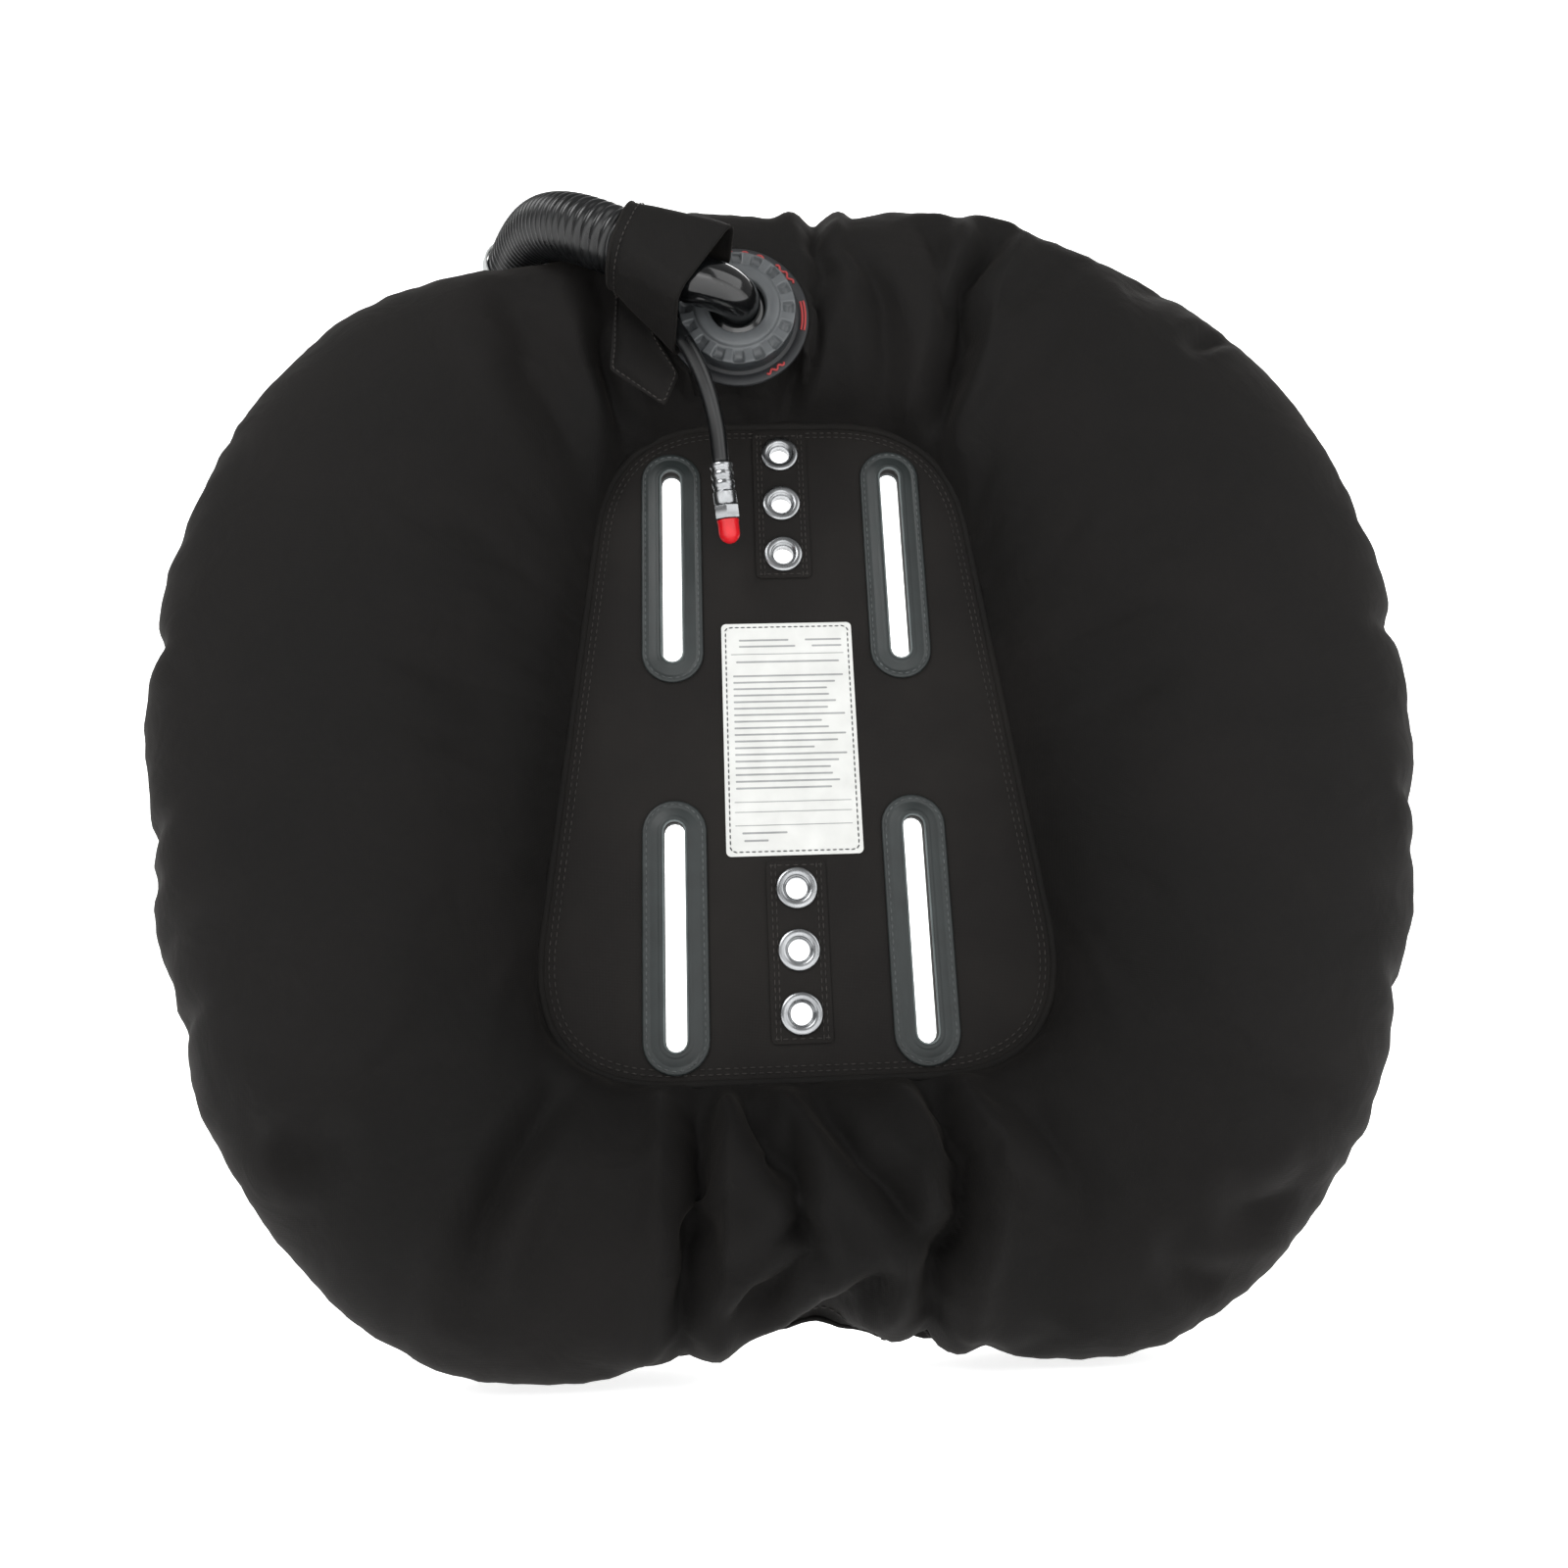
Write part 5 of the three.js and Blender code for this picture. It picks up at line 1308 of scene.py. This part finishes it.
tube = sweep("elbow_tube", elbow_line, radii, sides=48)
tube.data.materials.append(GLOSS_PLASTIC)
collar = on_port("elbow_collar", COLLAR_PROFILE, GLOSS_PLASTIC)
elbow = merged("gloss_elbow", tube, collar)
elbow.data.shade_smooth()
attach(elbow, "hose_assembly")
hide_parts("elbow")
print("elbow faces", len(elbow.data.polygons))

# %% [markdown]
# ## The hose sleeve and its flap
# A nylon sleeve wraps the hose where it leaves the elbow and closes with a flap of hook tape. It is
# a cone: wide over the elbow, snug on the hose. Its sections are rounded boxes, skinned out and
# back for the wall, and the ring's room is cut out of its back with a Boolean modifier.

# %% Sleeve
SLEEVE_START, SLEEVE_END = np.array([-50.0, -88, 237]), np.array([-88.0, -92, 252])
sleeve_length = float(np.linalg.norm(SLEEVE_END - SLEEVE_START))
sleeve_along = (SLEEVE_END - SLEEVE_START) / sleeve_length
sleeve_up = unit(np.array([0, 0, 1.0]) - sleeve_along * sleeve_along[2])
sleeve_out = np.cross(sleeve_up, sleeve_along)
sleeve_out *= -np.sign(sleeve_out[1])  # towards the tanks
SLEEVE_FROM, SLEEVE_TO, SLEEVE_WALL = -0.2, 1.08, 1.8  # shares of its length, and millimetres
CRUMPLE = 1.1


def on_sleeve(up_by, along_by, out_by):
    return SLEEVE_START + up_by * sleeve_up + along_by * sleeve_along + out_by * sleeve_out


def sleeve_ring(t, inset):
    """The section at share t of the sleeve: its middle, half sizes and corner all change along it."""
    top, foot = 25.2 - 2.6 * t, -33 + 10 * t
    front, back = 24.5 - 2 * t, -33 + 10 * t
    round_by = 11 + 8 * max(t, 0)
    loop = rounded_box((top + foot) / 2, (front + back) / 2, (top - foot) / 2 - inset,
                       (front - back) / 2 - inset, round_by - inset, 14)
    return np.array([on_sleeve(u, t * sleeve_length - 0.16 * (u + 5) * (1 - t), o) for u, o in loop])


shares = np.linspace(SLEEVE_FROM, SLEEVE_TO, 34)
rings = [sleeve_ring(t, 0) for t in shares] + [sleeve_ring(t, SLEEVE_WALL) for t in shares[::-1]]
sleeve = skin("nylon_hose_sleeve", rings, closed=True)
crumple_at = coordinates(sleeve.data)
waves = np.array([noise.noise(Vector(p * 38)) + 0.4 * noise.noise(Vector(p * 85)) for p in crumple_at])
middle = SLEEVE_START + ((crumple_at / MM - SLEEVE_START) @ sleeve_along)[:, None] * sleeve_along
outwards = crumple_at / MM - middle
outwards /= np.linalg.norm(outwards, axis=1)[:, None]
set_coordinates(sleeve.data, crumple_at + outwards * (waves * CRUMPLE)[:, None] * MM)
print("sleeve", round(sleeve_length * (SLEEVE_TO - SLEEVE_FROM)), "mm long")

# %% Room for the lock ring, hem and stitches
room = turned("room_for_ring", [(0, -14), (36.2, -14), (36.2, 15), (0, 15)], PORT, PORT_AXIS, 64)
cut = sleeve.modifiers.new("room for the ring", "BOOLEAN")
cut.operation, cut.solver, cut.object = "DIFFERENCE", "EXACT", room
sleeve = made_plain(sleeve)
bpy.data.objects.remove(room)
sleeve.data.materials.clear()
sleeve.data.materials.append(SHELL_NYLON)
hem = sweep("sleeve_hem", even_loop(sleeve_ring(SLEEVE_TO - 0.02, 0.6), 2), 1.3, sides=10, closed=True)
hem.data.materials.append(TAPE_NYLON)
sleeve_thread = stitched("sleeve_thread", even_loop(sleeve_ring(SLEEVE_TO - 0.14, -0.5), 2),
                         pitch=3.8, length=2.8)
sleeve = merged("nylon_hose_sleeve", sleeve, hem, sleeve_thread)
print("sleeve faces", len(sleeve.data.polygons))

# %% Flap
FLAP = [(-12, 24), (-4, 46), (-56, 29), (-65, -9), (-42, -9)]
FLAP_BACK, FLAP_FRONT = -35.2, -33.7
flap_line = even_loop([(u, a, 0) for u, a in FLAP], 1.5)
for _ in range(3):
    flap_line = (np.roll(flap_line, 1, 0) + 2 * flap_line + np.roll(flap_line, -1, 0)) / 4
flap_middle = flap_line.mean(axis=0)


def flap_ring(inset, out_by):
    away = flap_line - flap_middle
    size = np.linalg.norm(away, axis=1)[:, None]
    loop = flap_line - away / size * inset
    return np.array([on_sleeve(u, a, out_by) for u, a, _ in loop])


flap_sheet = skin("flap_sheet", [flap_ring(i, o) for i, o in (
    (8, FLAP_BACK), (0.4, FLAP_BACK), (0, FLAP_BACK + 0.5), (0, FLAP_FRONT - 0.5), (0.4, FLAP_FRONT),
    (3.2, FLAP_FRONT), (3.6, FLAP_FRONT - 0.3), (8, FLAP_FRONT - 0.3))])
flap_sheet.data.materials.append(SHELL_NYLON)
flap_thread = stitched("flap_thread", even_loop(flap_ring(2.0, FLAP_FRONT + 0.1), 2), pitch=3.8, length=2.8)
flap = merged("hook_tape_flap", flap_sheet, flap_thread)
for obj, node in ((sleeve, "hose_sleeve"), (flap, "sleeve_flap")):
    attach(obj, "hose_assembly")
    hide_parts(node)
print("flap faces", len(flap.data.polygons))

# %% [markdown]
# ## Springs
# Each button and the dump valve's disc sits on a coil spring. A coil is a wire swept along a helix.
# When its joint moves, the real coil closes up; here each coil is swept once, to the size of the imported
# spring, and stays one fixed piece of its body.

# %% Coil springs
SPRINGS = [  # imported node, joint, body, which axis it works along, is its high end the fixed one
    ("inflate_spring", "inflate_press", "hose_assembly", 1, False),
    ("vent_spring", "vent_press", "hose_assembly", 2, True),
    ("dump_valve_spring", "dump_valve_lift", "wing", 1, True)]
COIL_WIRE, COIL_TURNS = 0.45, 4.5  # the wire's radius, and how often it goes round
COIL_GAP = 0.05  # between the last turn and what it rests on


def coil(node, joint, body, across, high_is_fixed):
    low, high = (np.array(corner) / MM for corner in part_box(node))
    middle = (low + high) / 2
    length = high[across] - low[across]
    along = np.eye(3)[across]
    u, v = np.delete(np.eye(3), across, axis=0)
    radius = min(np.delete(high - low, across)) / 2 - COIL_WIRE - 0.1
    whole_turn = 2 * math.pi * COIL_TURNS
    first, rise = COIL_WIRE + COIL_GAP - length / 2, length - 2 * (COIL_WIRE + COIL_GAP)
    line = [middle + radius * (math.cos(a) * u + math.sin(a) * v) + along * (first + rise * a / whole_turn)
            for a in np.linspace(0, whole_turn, 200)]
    piece = sweep(f"{node}_coil", line, COIL_WIRE, sides=8)
    piece.data.materials.append(BRIGHT_STEEL)
    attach(piece, body)
    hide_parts(node)
    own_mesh(piece)


for spring in SPRINGS:
    coil(*spring)

# %% [markdown]
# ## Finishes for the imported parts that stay
# The inflator, the dump valve and the port's gasket stay as packed, and each part gets the finish
# of its own material.

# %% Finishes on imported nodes
NODE_FINISH = {
    "port_gasket": SEAL_RUBBER, "inflator_body": GLOSS_PLASTIC, "mouthpiece": SEAL_RUBBER,
    "inflator_nipple": BRIGHT_STEEL, "qd_body": BRIGHT_STEEL, "qd_collar": BRIGHT_STEEL,
    "inflate_button": CAP_RED, "vent_button": PAINTED_SKIRT_SHADE_AND_VENT_PLASTIC, "dump_valve_flange": FLANGE_PLASTIC,
    "dump_valve_cap": GLOSS_PLASTIC, "dump_valve_disc": SEAL_RUBBER}
for node, finish in NODE_FINISH.items():
    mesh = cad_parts[node].data
    mesh.materials.clear()
    mesh.materials.append(finish)
print("packed nodes with a new finish", len(NODE_FINISH))

# %% [markdown]
# ## Studio
# A white floor curves up into a white backdrop, which also glows a little, so that it stays white
# behind a dark object. Four large soft lights show the folds: one high on the left, one on the
# right, a weak one low in front and one high behind.

# %% Floor and backdrop
GLOW = 0.8
# Matt white paper: even and without a highlight, so only the object's shadow marks it.
WHITE, white_tree, white_shader, white_place = finish_tree(
    "matt white paper", Roughness=0.9, Emission_Strength=GLOW, Emission_Color=(1, 1, 1, 1))
paper = add(white_tree, "ShaderNodeTexNoise", {"Vector": white_place, "Scale": 40.0}).outputs["Fac"]
white_tree.links.new(mix_colours(white_tree, paper, linear("fbfbfb"), linear("ffffff")),
                     white_shader.inputs["Base Color"])
FLOOR_Z = -352.0
CURVE_START, CURVE_RADIUS, HALF_WIDTH = 900, 700, 5000
line = [(y, FLOOR_Z) for y in (-3000, -1000, 0, CURVE_START)]
line += [(CURVE_START + CURVE_RADIUS * math.sin(a), FLOOR_Z + CURVE_RADIUS - CURVE_RADIUS * math.cos(a))
         for a in np.linspace(0.06, math.pi / 2, 24)]
line += [(CURVE_START + CURVE_RADIUS, z) for z in (1500, 5000)]
corners = [(x * MM, y * MM, z * MM) for y, z in line for x in (-HALF_WIDTH, HALF_WIDTH)]
quads = [(2 * i, 2 * i + 1, 2 * i + 3, 2 * i + 2) for i in range(len(line) - 1)]
paper_mesh = bpy.data.meshes.new("backdrop")
paper_mesh.from_pydata(corners, [], quads)
paper_mesh.materials.append(WHITE)
backdrop = put_in_scene("backdrop", paper_mesh)
print("backdrop faces", len(quads))

# %% Lights
SKY_STRENGTH = 0.28
LIGHTS = [  # name, place, what it points at, size in metres, watts
    ("key", (-1.1, -1.6, 1.3), (0, 0, 0.05), 1.2, 26),
    ("fill", (1.4, -1.3, 0.6), (0, 0, 0), 1.4, 11),
    ("low", (0.2, -1.5, -0.25), (0, 0, -0.1), 0.8, 3),
    ("back", (0.4, 1.0, 1.4), (0, 0, 0.1), 1.2, 12)]
world = bpy.data.worlds.new("studio")
bpy.context.scene.world = world
world.use_nodes = True
sky = world.node_tree.nodes["Background"].inputs
sky["Color"].default_value = (1, 1, 1, 1)
sky["Strength"].default_value = SKY_STRENGTH
for name, place, target, size, watts in LIGHTS:
    light = bpy.data.lights.new(name, "AREA")
    light.energy, light.size = watts, size
    obj = put_in_scene(name, light)
    obj.location = place
    obj.rotation_euler = (Vector(target) - Vector(place)).to_track_quat("-Z", "Y").to_euler()
print("lights", [name for name, *_ in LIGHTS])
bpy.context.scene.view_settings.view_transform = "Standard"
bpy.context.scene.view_settings.look = "None"
